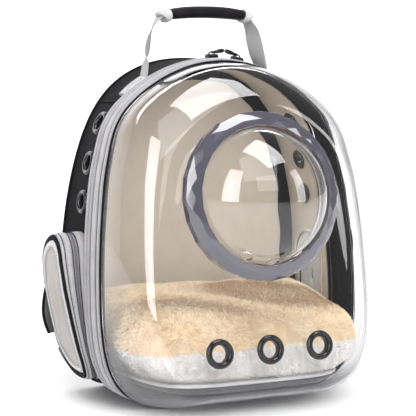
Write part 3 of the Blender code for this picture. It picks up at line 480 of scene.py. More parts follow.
for node, start, end, inner, outer, crown, mat, slot in BANDS:
    section = [(start, inner), (start, outer - 0.0006), (start + 0.0003, outer - 0.0001)]
    section += [(start + (end - start) * t, outer + crown * math.sin(math.pi * t))
                for t in (0.15, 0.35, 0.5, 0.65, 0.85)]
    section += [(end - 0.0003, outer - 0.0001), (end, outer - 0.0006), (end, inner)]
    rows = [frame_loop(depth, offset) for depth, offset in section]
    dress(skin(node + "_cloth", rows, True, True), mat, slot, node)

# The coils of the two zips: rows of small nylon teeth that stand a little out of their tapes.
nylon = plain("zip_teeth", (0.10, 0.095, 0.11, 1.0), 0.35)
for node, middle, offset in (("zip_middle", 0.0269, 0.0017), ("zip_rear", 0.0336, 0.0019)):
    dress(repeated(node + "_teeth", tooth_seed(0.0017), *frame_row(middle, offset, ZIP_STEP)), nylon,
          "zip_coil")

# Lines of stitching along the light bands.
for label, middle, offset in (("front", 0.0044, 0.00245), ("wide", 0.0243, 0.00372),
                              ("rear", 0.0362, 0.00378)):
    dress(repeated(label + "_band_stitches", stitch_seed(0.0024, 0.0006),
                   *frame_row(middle, offset, STITCH_STEP)), thread, "grey_band")

# Black lining inside the frame, a padded tape that hides the seams, with two raised ridges where the
# zips are sewn in from the other side.
rows = [frame_loop(depth, offset) for depth, offset in (
    (0.0006, -0.0034), (0.0006, -0.0048), (0.008, -0.0049), (0.0135, -0.0058), (0.0150, -0.0064),
    (0.0165, -0.0058), (0.021, -0.0049), (0.0265, -0.0056), (0.0280, -0.0062), (0.0295, -0.0056),
    (0.035, -0.0048), (0.0426, -0.0046), (0.0426, -0.0034), (0.021, -0.0034))]
dress(skin("frame_lining_tape", rows, True, True), black_band, "black_binding", "frame_lining")

# Body: a gusset of coated black polyester from the frame to the back, sewn from side and top panels.
# Its inside is a separate beige lining; three eyelets a side and a mesh window are let into both.

BODY_SIDE = 0.962         # width behind the frame, as a share of the frame's
BACK_HALF = [
    # half width and height along the edge of the back, from the bottom up
    (0.0, 0.0), (0.0385, 0.0), (0.077, 0.0), (0.0962, 0.0036), (0.1116, 0.0097), (0.125, 0.0189),
    (0.1366, 0.0327), (0.1453, 0.0511), (0.1500, 0.0715), (0.1525, 0.094), (0.153, 0.1175),
    (0.152, 0.1533), (0.1496, 0.184), (0.1453, 0.2167), (0.1395, 0.2463), (0.1308, 0.279),
    (0.1203, 0.3066), (0.1087, 0.3281), (0.0962, 0.3439), (0.0808, 0.3577), (0.0616, 0.3684),
    (0.0414, 0.3756), (0.0212, 0.3792), (0.0, 0.3802)]
BODY_BACK = 0.125 - ORIGIN_Y
LINING_FRONT = FRAME_DEPTH + 0.0008
LINING_BACK = 0.1215 - ORIGIN_Y
WALL = 0.0025             # thickness of the gusset
LINING = 0.0012           # thickness of the lining
fine = smooth_run(BACK_HALF + [(-x, z) for x, z in reversed(BACK_HALF[1:-1])], 3600, True)
fine[:, 1] = np.maximum(fine[:, 1], 0.0)
fine = np.array([fine[np.argmin(np.hypot(*(fine - p * (BODY_SIDE, 1.0)).T))] for p in outline])
back_outline = sum(np.roll(fine, k, axis=0) for k in range(-4, 5)) / 9.0
back_outline[:, 1] *= lift * 0.5 + 0.5


def body_loop(share, offset, back=BODY_BACK, start=FRAME_DEPTH + GAP):
    # loop round the body a share of the way to the back, moved out by the offset
    x, z = outline[:, 0], outline[:, 1]
    y = (1 - share) * (seam_y(z) + band_depth(start, z)) + share * back
    front = seam_y(z) + band_depth(FRAME_DEPTH + GAP, z)
    deep = np.clip((y - front) / (BODY_BACK - front), 0.0, 1.0)
    px = x * BODY_SIDE * (1 - deep) + back_outline[:, 0] * deep
    pz = z * (1 - deep) + back_outline[:, 1] * deep
    return np.stack([px + outward[:, 0] * offset, y, pz + outward[:, 1] * offset], -1)


def wall_point(y, z):
    # point on the right wall's outer face at this depth and height, and its outward direction
    front = seam_y(z) + band_depth(FRAME_DEPTH + GAP, z)
    deep = min(max((y - front) / (BODY_BACK - front), 0.0), 1.0)
    half = outline[1:ARCH // 2] * (BODY_SIDE, 1.0) * (1 - deep) + back_outline[1:ARCH // 2] * deep
    i = min(max(int(np.searchsorted(half[:, 1], z)), 1), len(half) - 1)
    t = (z - half[i - 1, 1]) / max(half[i, 1] - half[i - 1, 1], 1e-9)
    run = half[i] - half[i - 1]
    run = run / np.linalg.norm(run)
    return half[i - 1, 0] + t * (half[i, 0] - half[i - 1, 0]), np.array([run[1], 0.0, -run[0]])


def round_angles(count):
    # even angles round a circle
    return np.arange(count) * 2 * math.pi / count


steps = np.linspace(0.0, 1.0, 15)
around = round_angles(ARCH)
wave = np.sin(around * 9.0 + 0.7) * 0.5 + np.sin(around * 23.0) * 0.5
rows = []
for s in steps:
    dent = -0.0011 * math.sin(math.pi * s) * (0.6 + 0.4 * wave) * lift
    tuck = -0.0008 * math.exp(-((s - 0.035) / 0.03) ** 2)
    rows.append(body_loop(s, 0.0) + out_way * (dent + tuck)[:, None])
body = skin("body_gusset", rows, True)
modify(body, "SOLIDIFY", thickness=WALL, offset=-1.0)
skin_gap = -WALL - 0.0009
rows = [body_loop(s, skin_gap, LINING_BACK, LINING_FRONT)
        - out_way * (0.0009 * math.sin(math.pi * s) * (0.5 + 0.5 * wave))[:, None] for s in steps]
lining = skin("lining_sides", rows, True)
modify(lining, "SOLIDIFY", thickness=LINING, offset=-1.0)


def drawn_in(loop, hub, inset, shift=(0.0, 0.0, 0.0)):
    # a loop shrunk towards its hub by a share, then shifted
    return hub + (loop - hub) * (1.0 - inset) + shift


BACK_MIDDLE = 0.19        # height of the middle of the back
back_edge = body_loop(1.0, skin_gap - 0.0002, LINING_BACK, LINING_FRONT)
hub = np.array([0.0, LINING_BACK, BACK_MIDDLE])
back_sheet = skin("lining_back", [drawn_in(back_edge, hub, t) for t in np.linspace(0.0, 0.9995, 26)], True)
for v in back_sheet.data.vertices:
    r = math.hypot(v.co.x / 0.15, (v.co.z - BACK_MIDDLE) / 0.19)
    v.co.y -= 0.0016 * max(0.0, 1 - r) * (1 + 0.4 * math.sin(v.co.z * 42.0 + v.co.x * 17.0))
modify(back_sheet, "SOLIDIFY", thickness=LINING, offset=0.0)

SIDE_EYELET_Y = 0.076 - ORIGIN_Y
SIDE_EYELET_Z = (0.309, 0.265, 0.222)
SIDE_HOLE = 0.0100        # radius cut for a grommet
WINDOW_Y = (0.052 - ORIGIN_Y, 0.108 - ORIGIN_Y)
WINDOW_Z = (0.066, 0.172)
WINDOW_CORNER = 0.024


def aim(thing, axis, place):
    # stands a piece made along Z at a place, along an axis
    thing.rotation_mode = "QUATERNION"
    thing.rotation_quaternion = Vector(axis).to_track_quat("Z", "Y")
    thing.location = place
    settle(thing)


def drill(vertices, radius, depth, axis, place):
    alone()
    bpy.ops.mesh.primitive_cylinder_add(vertices=vertices, radius=radius, depth=depth)
    bit = bpy.context.object
    aim(bit, axis, place)
    return bit


punches = []
for sign in (-1.0, 1.0):
    for z in SIDE_EYELET_Z:
        x, normal = wall_point(SIDE_EYELET_Y, z)
        punches.append(drill(40, SIDE_HOLE, 0.026, normal * (sign, 1.0, 1.0), (sign * x, SIDE_EYELET_Y, z)))
    alone()
    bpy.ops.mesh.primitive_cube_add(size=1.0, location=(sign * 0.150, sum(WINDOW_Y) / 2, sum(WINDOW_Z) / 2))
    punch = bpy.context.object
    punch.scale = (0.040, WINDOW_Y[1] - WINDOW_Y[0], WINDOW_Z[1] - WINDOW_Z[0])
    settle(punch)
    bpy.ops.object.mode_set(mode="EDIT")
    bpy.ops.mesh.select_mode(type="EDGE")
    bpy.ops.mesh.select_all(action="DESELECT")
    bpy.ops.object.mode_set(mode="OBJECT")
    for edge in punch.data.edges:
        a, b = (punch.data.vertices[v].co for v in edge.vertices)
        edge.select = abs(a.x - b.x) > 0.01
    bpy.ops.object.mode_set(mode="EDIT")
    bpy.ops.mesh.bevel(offset=WINDOW_CORNER, segments=10, affect="EDGES")
    bpy.ops.object.mode_set(mode="OBJECT")
    punches.append(punch)


def joined(parts):
    alone()
    for part in parts:
        part.select_set(True)
    bpy.context.view_layer.objects.active = parts[0]
    if len(parts) > 1:
        bpy.ops.object.join()
    return parts[0]


def soften(thing, degrees):
    # smooth shading, except over edges sharper than this
    only(thing)
    bpy.ops.object.shade_smooth_by_angle(angle=math.radians(degrees))


def punched(tools, *targets):
    # cuts the joined tools out of each target, then drops them
    punch = joined(tools)
    for target in targets:
        modify(target, "BOOLEAN", operation="DIFFERENCE", solver="EXACT", object=punch)
    bpy.data.objects.remove(punch, do_unlink=True)


punched(punches, body, lining)
for target in (body, lining, back_sheet):
    soften(target, 40)

oxford = cloth("black_oxford", (0.0125, 0.0115, 0.0135), (0.0060, 0.0055, 0.0065), 1400.0, 0.7, 0.5,
               0.0, 0.5, 0.06)
beige = cloth("beige_lining_cloth", (0.66, 0.585, 0.49), (0.57, 0.50, 0.41), 2200.0, 0.7, 0.25, 0.1)
dress(body, oxford, "black_fabric", "body_wall")
lining = joined([lining, back_sheet])
dress(lining, beige, "beige_lining", "lining")

# Black binding over the lining's back seam, a folded tape sewn on by hand, slightly uneven.
rows = []
edge = skin_gap - LINING - 0.0008
along_y = LINING_BACK - LINING - GAP
wobble = 0.0012 * np.sin(np.arange(ARCH) * 0.19) + 0.0008 * np.sin(np.arange(ARCH) * 0.53 + 1.0)
for inset, rise in ((0.0, 0.0), (0.0, 0.0016), (0.004, 0.0022), (0.0110, 0.0020), (0.0155, 0.0012),
                    (0.0160, 0.0)):
    rows.append(body_loop(1.0, edge - inset, along_y - rise) + out_way * (wobble * inset / 0.012)[:, None])
dress(skin("corner_binding_tape", rows, True, True), black_band, "black_binding", "corner_binding")

# Seams of the gusset, where the top panel meets the side panels in front of and behind the handle.
SEAM_X = 0.112            # where it starts on the frame, from the middle
upper = [i for i in range(ARCH) if outline[i, 1] > 0.30]
for sign, label in ((-1, "left"), (1, "right")):
    i = min((k for k in upper if outline[k, 0] * sign > 0), key=lambda k: abs(abs(outline[k, 0]) - SEAM_X))
    line = np.array([body_loop(s, 0.0004)[i] for s in np.linspace(0.02, 0.99, 18)])
    out_dir = out_way[i]
    flat_dir = np.cross(out_dir, (0.0, 1.0, 0.0))
    rows = [[p + out_dir * (0.0007 * math.sin(a)) + flat_dir * (0.0011 * math.cos(a)) for p in line]
            for a in round_angles(8)]
    dress(skin("gusset_seam_" + label, rows, False, True), black_band, "black_fabric")

# Clear shell: one sheet of clear plastic, 1.5 mm, heated and drawn into a deep tub whose rim is sewn
# into the frame.  Its front is nearly flat, with a round hole for the bubble and three for eyelets.

SHELL_WALL = 0.0015
FACE_Y = -0.0695          # the flat front, as far forward as the middle of the bubble
FACE_Z = 0.235            # height of the middle of the bubble
FACE_LEAN = 0.165         # metres back for each metre up
FACE_CROWN = 0.0016       # how far the flat front still bulges
SHELL_HOLE = 0.0718       # radius cut for the bubble
SHELL_KEYS = [
    # share of the way forward, side inset, bottom rise, top height
    (0.00, 0.0000, 0.0000, 0.3778), (0.30, 0.0035, 0.0060, 0.3765), (0.55, 0.0092, 0.0125, 0.3722),
    (0.75, 0.0165, 0.0185, 0.3635), (0.88, 0.0235, 0.0242, 0.3530), (0.96, 0.0300, 0.0312, 0.3430),
    (1.00, 0.0380, 0.0400, 0.3330), (1.00, 0.0500, 0.0530, 0.3200)]
SHELL_REACH = 0.078       # metres of depth for a whole share, to space the rows evenly
FACE_NORMAL = np.array([0.0, -1.0, FACE_LEAN]) / math.hypot(1.0, FACE_LEAN)
FACE_SIDE = np.array([1.0, 0.0, 0.0])
FACE_UP = np.cross(FACE_SIDE, -FACE_NORMAL)
FACE_CENTRE = np.array([0.0, FACE_Y - ORIGIN_Y, FACE_Z])


def face_y(z):
    return FACE_Y + FACE_LEAN * (z - FACE_Z) - ORIGIN_Y


keys = smooth_run([(s * SHELL_REACH, i, lo, hi) for s, i, lo, hi in SHELL_KEYS], 30)
rows = []
for reach, inset, low, high in keys:
    share = min(reach / SHELL_REACH, 1.0)
    x = outline[:, 0] * (SEAM_HALF_WIDTH - inset) / SEAM_HALF_WIDTH
    z = low + outline[:, 1] * (high - low) / SEAM_HEIGHT
    rows.append(np.stack([x, (1 - share) * (seam_y(outline[:, 1]) - GAP) + share * face_y(z), z], -1))
rim = rows[-1]
spoke = rim - FACE_CENTRE
angle = np.arctan2(spoke @ FACE_UP, spoke @ FACE_SIDE)
circle = FACE_CENTRE + SHELL_HOLE * (np.cos(angle)[:, None] * FACE_SIDE + np.sin(angle)[:, None] * FACE_UP)
for t in np.linspace(0.0, 1.0, 12)[1:]:
    rows.append(rim + (circle - rim) * t + FACE_NORMAL * FACE_CROWN * math.sin(math.pi * t))
shell = skin("clear_shell_sheet", rows, True)
modify(shell, "SOLIDIFY", thickness=SHELL_WALL, offset=-1.0)

FRONT_EYELET_X = (-0.060, 0.0, 0.060)
FRONT_EYELET_Z = 0.0735
FRONT_HOLE = 0.0112       # radius cut for a grommet
punched([drill(48, FRONT_HOLE, 0.03, FACE_NORMAL, (x, face_y(FRONT_EYELET_Z), FRONT_EYELET_Z))
         for x in FRONT_EYELET_X], shell)
soften(shell, 40)


def coords(tree, kind):
    # the separate parts of the object's own coordinates or of the UV map
    where = tree.nodes.new("ShaderNodeTexCoord")
    split = tree.nodes.new("ShaderNodeSeparateXYZ")
    tree.links.new(where.outputs[kind], split.inputs[0])
    return split.outputs


def clear_plastic(name, tint, edge, rough, film):
    # clear sheet, with painted shade in its colour: greyer where it is seen edge-on and greyer towards
    # its bottom; light from the lamps goes straight through it
    mat, tree, shader = new_material(name)
    facing = tree.nodes.new("ShaderNodeLayerWeight")
    facing.inputs["Blend"].default_value = 0.5
    # painted shade: the colour turns to the edge grey where the sheet is seen edge-on and low down
    edge_on_shade = sums(tree, "MULTIPLY_ADD", facing.outputs["Facing"], 3.4, -2.35, clamp=True)
    low = sums(tree, "MULTIPLY_ADD", coords(tree, "Object")[2], -26.0, 1.35, clamp=True)
    tree.links.new(blended(tree, sums(tree, "MAXIMUM", edge_on_shade, low), tint, edge),
                   shader.inputs["Base Color"])
    shader.inputs["Roughness"].default_value = rough
    shader.inputs["Transmission Weight"].default_value = 1.0
    shader.inputs["IOR"].default_value = 1.5
    wavy = tree.nodes.new("ShaderNodeTexNoise")
    wavy.inputs["Scale"].default_value = 9.0
    wavy.inputs["Detail"].default_value = 1.0
    where = tree.nodes.new("ShaderNodeTexCoord")
    tree.links.new(where.outputs["Object"], wavy.inputs["Vector"])
    relieved(tree, shader, wavy.outputs["Fac"], film, 0.001)
    through = tree.nodes.new("ShaderNodeBsdfTransparent")
    through.inputs["Color"].default_value = (0.975, 0.975, 0.975, 1.0)
    path = tree.nodes.new("ShaderNodeLightPath")
    mix = tree.nodes.new("ShaderNodeMixShader")
    tree.links.new(sums(tree, "MAXIMUM", path.outputs["Is Shadow Ray"], path.outputs["Is Diffuse Ray"]),
                   mix.inputs[0])
    tree.links.new(shader.outputs[0], mix.inputs[1])
    tree.links.new(through.outputs[0], mix.inputs[2])
    tree.links.new(mix.outputs[0], tree.nodes["Material Output"].inputs["Surface"])
    return mat


clear = clear_plastic("clear_shell_plastic", (0.985, 0.982, 0.985), (0.63, 0.63, 0.66), 0.012, 0.12)
dress(shell, clear, "clear_sheet", "clear_shell")

# Bubble: a blown clear dome with a flange, clamped to the shell by a faceted smoke-grey ring; three
# vent holes are drilled along its lower edge.


def turned(name, profile, steps, place, axis):
    # a closed outline of (radius, height) spun about an axis through a place
    alone()
    bpy.ops.mesh.primitive_circle_add(vertices=len(profile), radius=1.0)
    made = bpy.context.object
    made.name = made.data.name = name
    for v, (radius, height) in zip(made.data.vertices, profile):
        v.co = (radius, 0.0, height)
    bpy.ops.object.mode_set(mode="EDIT")
    bpy.ops.mesh.select_all(action="SELECT")
    bpy.ops.mesh.spin(steps=steps, angle=2 * math.pi, center=(0, 0, 0), axis=(0, 0, 1))
    bpy.ops.mesh.select_all(action="SELECT")
    bpy.ops.mesh.remove_doubles(threshold=1e-6)
    bpy.ops.mesh.normals_make_consistent(inside=False)
    bpy.ops.object.mode_set(mode="OBJECT")
    aim(made, axis, place)
    soften(made, 35)
    return made


DOME_RADIUS = 0.0746
DOME_FOOT = 0.0140        # height of the upright part over the shell's face
DOME_RISE = 0.0540        # height of the cap over that
DOME_WALL = 0.0015
DOME_FLANGE = 0.0860      # radius
VENT_ANGLES = (-116.6, -90.0, -63.4)  # degrees round the bubble's axis
VENT_HOLE = 0.0070        # radius
VENT_OUT, VENT_UP = 0.0712, 0.0225    # from the bubble's axis and over the shell's face
ball = (DOME_RADIUS ** 2 + DOME_RISE ** 2) / (2 * DOME_RISE)
crown = DOME_FOOT + DOME_RISE
half = math.asin(DOME_RADIUS / ball)
profile = [(DOME_RADIUS - DOME_WALL, GAP), (DOME_FLANGE, GAP), (DOME_FLANGE, 0.0018),
           (DOME_RADIUS + 0.0004, 0.0018),
           (DOME_RADIUS, 0.0026), (DOME_RADIUS - 0.0003, 0.0085), (DOME_RADIUS + 0.0006, 0.0095),
           (DOME_RADIUS + 0.0006, 0.0108), (DOME_RADIUS - 0.0002, 0.0118), (DOME_RADIUS, DOME_FOOT)]
arc = [half * (1 - k / 30.0) for k in range(1, 30)]
profile += [(ball * math.sin(a), crown - ball + ball * math.cos(a)) for a in arc] + [(0.0, crown)]
profile += [(0.0, crown - DOME_WALL)]
profile += [((ball - DOME_WALL) * math.sin(a), crown - ball + (ball - DOME_WALL) * math.cos(a))
            for a in reversed(arc)]
profile += [(DOME_RADIUS - DOME_WALL, DOME_FOOT - 0.0006)]
dome = turned("clear_dome", profile, 96, FACE_CENTRE, FACE_NORMAL)
punches = []
for a in np.radians(VENT_ANGLES):
    spot = FACE_CENTRE + VENT_OUT * (math.cos(a) * FACE_SIDE + math.sin(a) * FACE_UP) + FACE_NORMAL * VENT_UP
    punches.append(drill(40, VENT_HOLE, 0.016, spot - (FACE_CENTRE + FACE_NORMAL * (crown - ball)), spot))
punched(punches, dome)
soften(dome, 35)
clear = clear_plastic("clear_dome_plastic", (0.985, 0.985, 0.985), (0.78, 0.78, 0.80), 0.008, 0.05)
dress(dome, clear, "clear_sheet", "bubble_dome")

# the ring's facets are those of its solid, with the edges broken
only(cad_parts["bubble_ring"])
bpy.ops.object.duplicate()
ring = bpy.context.object
ring.name = ring.data.name = "faceted_ring"
for extra in list(ring.keys()):
    del ring[extra]
world_place = ring.matrix_world.copy()
ring.parent = None
ring.matrix_world = world_place
settle(ring)
bpy.ops.object.mode_set(mode="EDIT")
bpy.ops.mesh.select_all(action="SELECT")
bpy.ops.mesh.remove_doubles(threshold=1e-5)
bpy.ops.mesh.normals_make_consistent(inside=False)
bpy.ops.mesh.tris_convert_to_quads(face_threshold=math.radians(1.0), shape_threshold=math.radians(170.0))
bpy.ops.object.mode_set(mode="OBJECT")
modify(ring, "BEVEL", width=0.00035, segments=2, limit_method="ANGLE", angle_limit=math.radians(6))
smoke, tree, shader = new_material("smoke_grey_plastic")
uneven = unevenness(tree, 25.0)
tree.links.new(blended(tree, uneven.outputs["Shade"], (0.044, 0.042, 0.058), (0.068, 0.065, 0.088)),
               shader.inputs["Base Color"])
tree.links.new(sums(tree, "MULTIPLY_ADD", uneven.outputs["Fibre"], 0.06, 0.10), shader.inputs["Roughness"])
shader.inputs["Specular IOR Level"].default_value = 0.9
shader.inputs["Coat Weight"].default_value = 1.0
shader.inputs["Coat Roughness"].default_value = 0.05
dress(ring, smoke, "ring_plastic", "bubble_ring")

# Eyelets: grommets moulded in glossy black plastic, three in the shell and three in each side.  Each is
# a rounded ring pressed through its hole into a washer behind the sheet.

gloss, tree, shader = new_material("gloss_black_plastic")
uneven = unevenness(tree, 90.0)
tree.links.new(blended(tree, uneven.outputs["Shade"], (0.006, 0.006, 0.007), (0.016, 0.016, 0.018)),
               shader.inputs["Base Color"])
tree.links.new(sums(tree, "MULTIPLY_ADD", uneven.outputs["Shade"], 0.12, 0.06), shader.inputs["Roughness"])


def eyelet(name, hole, neck, wide, face, under, foot, place, axis):
    # face is the ring's height over the sheet, under the rear of the sheet, foot the washer's thickness
    middle, thick = (hole + wide) / 2, (wide - hole) / 2
    ring_round = [(middle + thick * math.cos(a), 0.0006 + face * math.sin(a))
                  for a in np.linspace(math.pi, 0.0, 13)]
    profile = [(hole, under - foot)] + ring_round + [(wide - 0.0004, GAP), (neck, GAP), (neck, under)]
    profile += [(wide - 0.0022, under), (wide - 0.0018, under - foot * 0.4), (wide - 0.0026, under - foot)]
    return turned(name, profile, 48, place, axis)


for number, x in enumerate(FRONT_EYELET_X, 1):
    place = np.array([x, face_y(FRONT_EYELET_Z), FRONT_EYELET_Z]) + FACE_NORMAL * 0.0008
    grommet = eyelet("front_grommet_%d" % number, 0.0092, 0.0106, 0.0160, 0.0044,
                     -SHELL_WALL - GAP - 0.0008, 0.0022, place, FACE_NORMAL)
    dress(grommet, gloss, "eyelet_black", "front_eyelet_%d" % number)
for sign, label in ((-1, "left"), (1, "right")):
    for number, z in enumerate(SIDE_EYELET_Z, 1):
        x, normal = wall_point(SIDE_EYELET_Y, z)
        grommet = eyelet("side_grommet_%s_%d" % (label, number), 0.0080, 0.0094, 0.0140, 0.0036,
                         -WALL - LINING - 0.0026, 0.0018, (sign * x, SIDE_EYELET_Y, z),
                         normal * (sign, 1.0, 1.0))
        dress(grommet, gloss, "eyelet_black", "side_eyelet_%s_%d" % (label, number))

# Floor of the carrier: a dark foam insert under the pad and the pad's own board, cut from pale grey felt
# with a stitched edge.

BASE_HALF = [(0.0, -0.004), (0.060, -0.004), (0.098, 0.000), (0.112, 0.010), (0.116, 0.030), (0.117, 0.060),
             (0.116, 0.090), (0.111, 0.108), (0.095, 0.1145), (0.050, 0.1150), (0.0, 0.1150)]
BOARD_HALF = [(0.0, -0.0800), (0.045, -0.0790), (0.080, -0.0745), (0.102, -0.0600), (0.1130, -0.0350),
              (0.1190, -0.005), (0.1225, 0.030), (0.1230, 0.070), (0.1200, 0.098), (0.106, 0.1120),
              (0.060, 0.1145), (0.0, 0.1150)]
PAD_HALF = [(0.0, -0.0830), (0.045, -0.0825), (0.080, -0.0805), (0.108, -0.0755), (0.1265, -0.0660),
            (0.1365, -0.0480), (0.1400, -0.0200), (0.1410, 0.020), (0.1405, 0.060), (0.1365, 0.094),
            (0.1210, 0.1095), (0.070, 0.1130), (0.0, 0.1140)]
ROUND = 112               # points around the floor pieces


def both_halves(half):
    line = smooth_run(half + [(-x, y) for x, y in reversed(half[1:-1])], ROUND, True)
    return line - (0.0, ORIGIN_Y)


base_line, board_line, pad_line = (both_halves(half) for half in (BASE_HALF, BOARD_HALF, PAD_HALF))
MID_Y = 0.0175 - ORIGIN_Y


def flat_loop(line, wide, deep, z):
    return np.stack([line[:, 0] * wide, MID_Y + (line[:, 1] - MID_Y) * deep, np.full(ROUND, z)], -1)


foam = cloth("dark_base_cloth", (0.085, 0.085, 0.092), (0.045, 0.045, 0.050), 900.0, 0.75, 0.6, 0.3)
rows = [flat_loop(base_line, wide, 1.0, z) for wide, z in ((0.54, 0.0052), (0.68, 0.0097), (0.82, 0.0167))]
rows += [flat_loop(board_line, wide, deep, z) for wide, deep, z in (
    (0.90, 0.97, 0.0262), (0.965, 0.985, 0.0285), (0.97, 0.99, 0.0310), (0.965, 0.985, 0.0325),
    (0.95, 0.975, 0.0330))]
dress(skin("base_insert_foam", rows, True, caps=True), foam, "dark_base", "base_insert")
felt = cloth("pale_grey_felt", (0.66, 0.66, 0.645), (0.52, 0.52, 0.51), 2600.0, 0.85, 0.5, 0.6, 0.8)
rows = [flat_loop(board_line, w, w, z) for w, z in ((0.975, 0.0335), (0.992, 0.0337), (1.0, 0.0346),
                                                    (1.0, 0.0364), (0.992, 0.0373), (0.975, 0.0375))]
dress(skin("pad_board_felt", rows, True, caps=True), felt, "pad_board", "pad_board")
places, ways = along(flat_loop(board_line, 1.0005, 1.0005, 0.0354), 0.0036)
pale_thread = plain("pale_thread", (0.74, 0.73, 0.71, 1.0), 0.6)
ups = np.stack([-ways[:, 1], ways[:, 0], np.zeros(len(ways))], -1)
ups *= np.sign((ups * (places - (0.0, MID_Y, 0.0))).sum(axis=1))[:, None]
dress(repeated("pad_board_stitches", stitch_seed(0.0026, 0.0006), places, ways, ups), pale_thread,
      "pad_board")

# Plush pad: beige plush on top, white plush round the sides, sewn with gathers to the board and
# filled with soft wadding.  The form is blown up by a cloth simulation, then it gets its pile.

PAD_TOP = [
    # depth, and the height of the pile's top there
    (-0.083, 0.0660), (-0.072, 0.0790), (-0.060, 0.0920), (-0.047, 0.1010), (-0.030, 0.1070),
    (0.004, 0.1135), (0.040, 0.1190), (0.076, 0.1240), (0.110, 0.1272)]
PAD_ROWS = [
    # scale, share of the widest outline, height share of the local thickness
    (0.95, 0.0, 0.0), (1.0, 0.55, 0.16), (1.0, 1.0, 0.42), (0.985, 1.0, 0.72), (0.94, 1.0, 0.91),
    (0.80, 1.0, 0.985), (0.45, 1.0, 1.0), (0.03, 1.0, 1.0)]
PAD_LOW = 0.0383          # underside, on the board
PAD_SHARE = 0.978         # how far the form fills its outline
PILE_ROOM = 0.004         # left on top for the pile
PAD_VOXEL = 0.0055
SWELL_MOST = 0.004        # the wadding pushes no place further out than this
around = round_angles(ROUND)
gather = 0.6 * np.sin(around * 17.0 + 0.4) + 0.4 * np.sin(around * 29.0 + 1.9)
rows = []
for scale, wide_share, share in smooth_run(PAD_ROWS, 30):
    mixed = board_line * (1 - wide_share) + pad_line * wide_share
    x = mixed[:, 0] * scale * PAD_SHARE
    y = MID_Y + (mixed[:, 1] - MID_Y) * scale * PAD_SHARE
    tall = np.interp(y + ORIGIN_Y, [p[0] for p in PAD_TOP], [p[1] for p in PAD_TOP]) - PILE_ROOM
    pull = 1.0 - 0.010 * gather * max(0.0, 1.0 - share / 0.55)
    rows.append(np.stack([x * pull, y * pull, PAD_LOW + share * (tall - PAD_LOW)], -1))
pad = skin("plush_pad_form", rows, True, caps=True)
modify(pad, "REMESH", mode="VOXEL", voxel_size=PAD_VOXEL)
for v in pad.data.vertices:
    if v.co.z > 0.085:
        v.co.z += 0.0008 * math.sin(v.co.x * 31.0 + 1.1) * math.sin(v.co.y * 44.0 + v.co.x * 18.0 + 0.5)
start_form = np.array([v.co for v in pad.data.vertices])
hold = pad.vertex_groups.new(name="sewn")
hold.add([v.index for v in pad.data.vertices if v.co.z < PAD_LOW + 0.003], 1.0, "REPLACE")
swell = pad.modifiers.new("swell", "CLOTH")
swell.settings.quality = 5
swell.settings.mass = 0.25
swell.settings.use_pressure = True
swell.settings.uniform_pressure_force = 4.0
swell.settings.vertex_group_mass = "sewn"
swell.settings.tension_stiffness = swell.settings.compression_stiffness = 12.0
swell.settings.bending_stiffness = 0.6
swell.settings.effector_weights.gravity = 0.0
swell.point_cache.frame_start, swell.point_cache.frame_end = 1, 20
for number in range(1, 21):
    bpy.context.scene.frame_set(number)
only(pad)
bpy.ops.object.modifier_apply(modifier=swell.name)
pad.vertex_groups.clear()
for v, was in zip(pad.data.vertices, start_form):
    moved = v.co - Vector(was)
    if moved.length > SWELL_MOST:
        v.co = Vector(was) + moved * (SWELL_MOST / moved.length)
    v.co.z = max(v.co.z, PAD_LOW - GAP)
modify(pad, "SUBSURF", levels=1)
only(pad)
bpy.ops.object.shade_smooth()


def plush_material(name, for_pile):
    # two-tone plush by height, with painted light and shade: lighter and darker patches where the pile
    # lies another way, and darker dips between the tufts
    mat, tree, shader = new_material(name)
    patch = unevenness(tree, 26.0)
    curls = unevenness(tree, 150.0)
    line = sums(tree, "MULTIPLY_ADD", patch.outputs["Shade"], 0.006, 0.0645)
    line = sums(tree, "MULTIPLY_ADD", curls.outputs["Shade"], 0.003, line)
    over_line = sums(tree, "SUBTRACT", coords(tree, "Object")[2], line)
    upper = sums(tree, "DIVIDE", over_line, 0.0025, clamp=True)
    # painted light and shade: slow patches lighter and darker, the dips between tufts darker brown and greyer
    pile_lay_light = sums(tree, "MULTIPLY_ADD", patch.outputs["Shade"], 2.2, -0.6, clamp=True)
    tuft_shade = sums(tree, "MULTIPLY_ADD", curls.outputs["Shade"], 2.6, -0.8, clamp=True)
    beige_tone = blended(tree, pile_lay_light, (0.93, 0.74, 0.50), (0.98, 0.88, 0.70))
    beige_tone = blended(tree, sums(tree, "MULTIPLY", sums(tree, "SUBTRACT", 1.0, tuft_shade), 0.26), beige_tone,
                         (0.74, 0.52, 0.31))
    white_tone = blended(tree, tuft_shade, (0.86, 0.845, 0.84), (0.96, 0.95, 0.945))
    tone = blended(tree, upper, white_tone, beige_tone)
    if for_pile:
        # painted shade darker towards the root, and each strand its own tone with painted shade between tufts
        strand_tone_and_tuft_shade, height, _ = coords(tree, "UV")
        # painted shade: up to a tenth darker at the root, none at the tip
        root = sums(tree, "MULTIPLY", sums(tree, "SUBTRACT", 1.0, height), 0.20)
        strand = blended(tree, strand_tone_and_tuft_shade, (0.80, 0.75, 0.68), (1.0, 1.0, 1.0))
        tone = blended(tree, root, tone, (0.5, 0.5, 0.5), "MULTIPLY")
        tone = blended(tree, 1.0, tone, strand, "MULTIPLY")
    tree.links.new(tone, shader.inputs["Base Color"])
    shader.inputs["Roughness"].default_value = 0.9
    shader.inputs["Sheen Weight"].default_value = 0.35
    shader.inputs["Sheen Roughness"].default_value = 0.5
    shader.inputs["Specular IOR Level"].default_value = 0.15
    if not for_pile:
        relieved(tree, shader, sums(tree, "ADD", curls.outputs["Fibre"], curls.outputs["Shade"]), 0.8, 0.0010)
    return mat


dress(pad, plush_material("plush_cloth", False), "plush", "plush_pad")

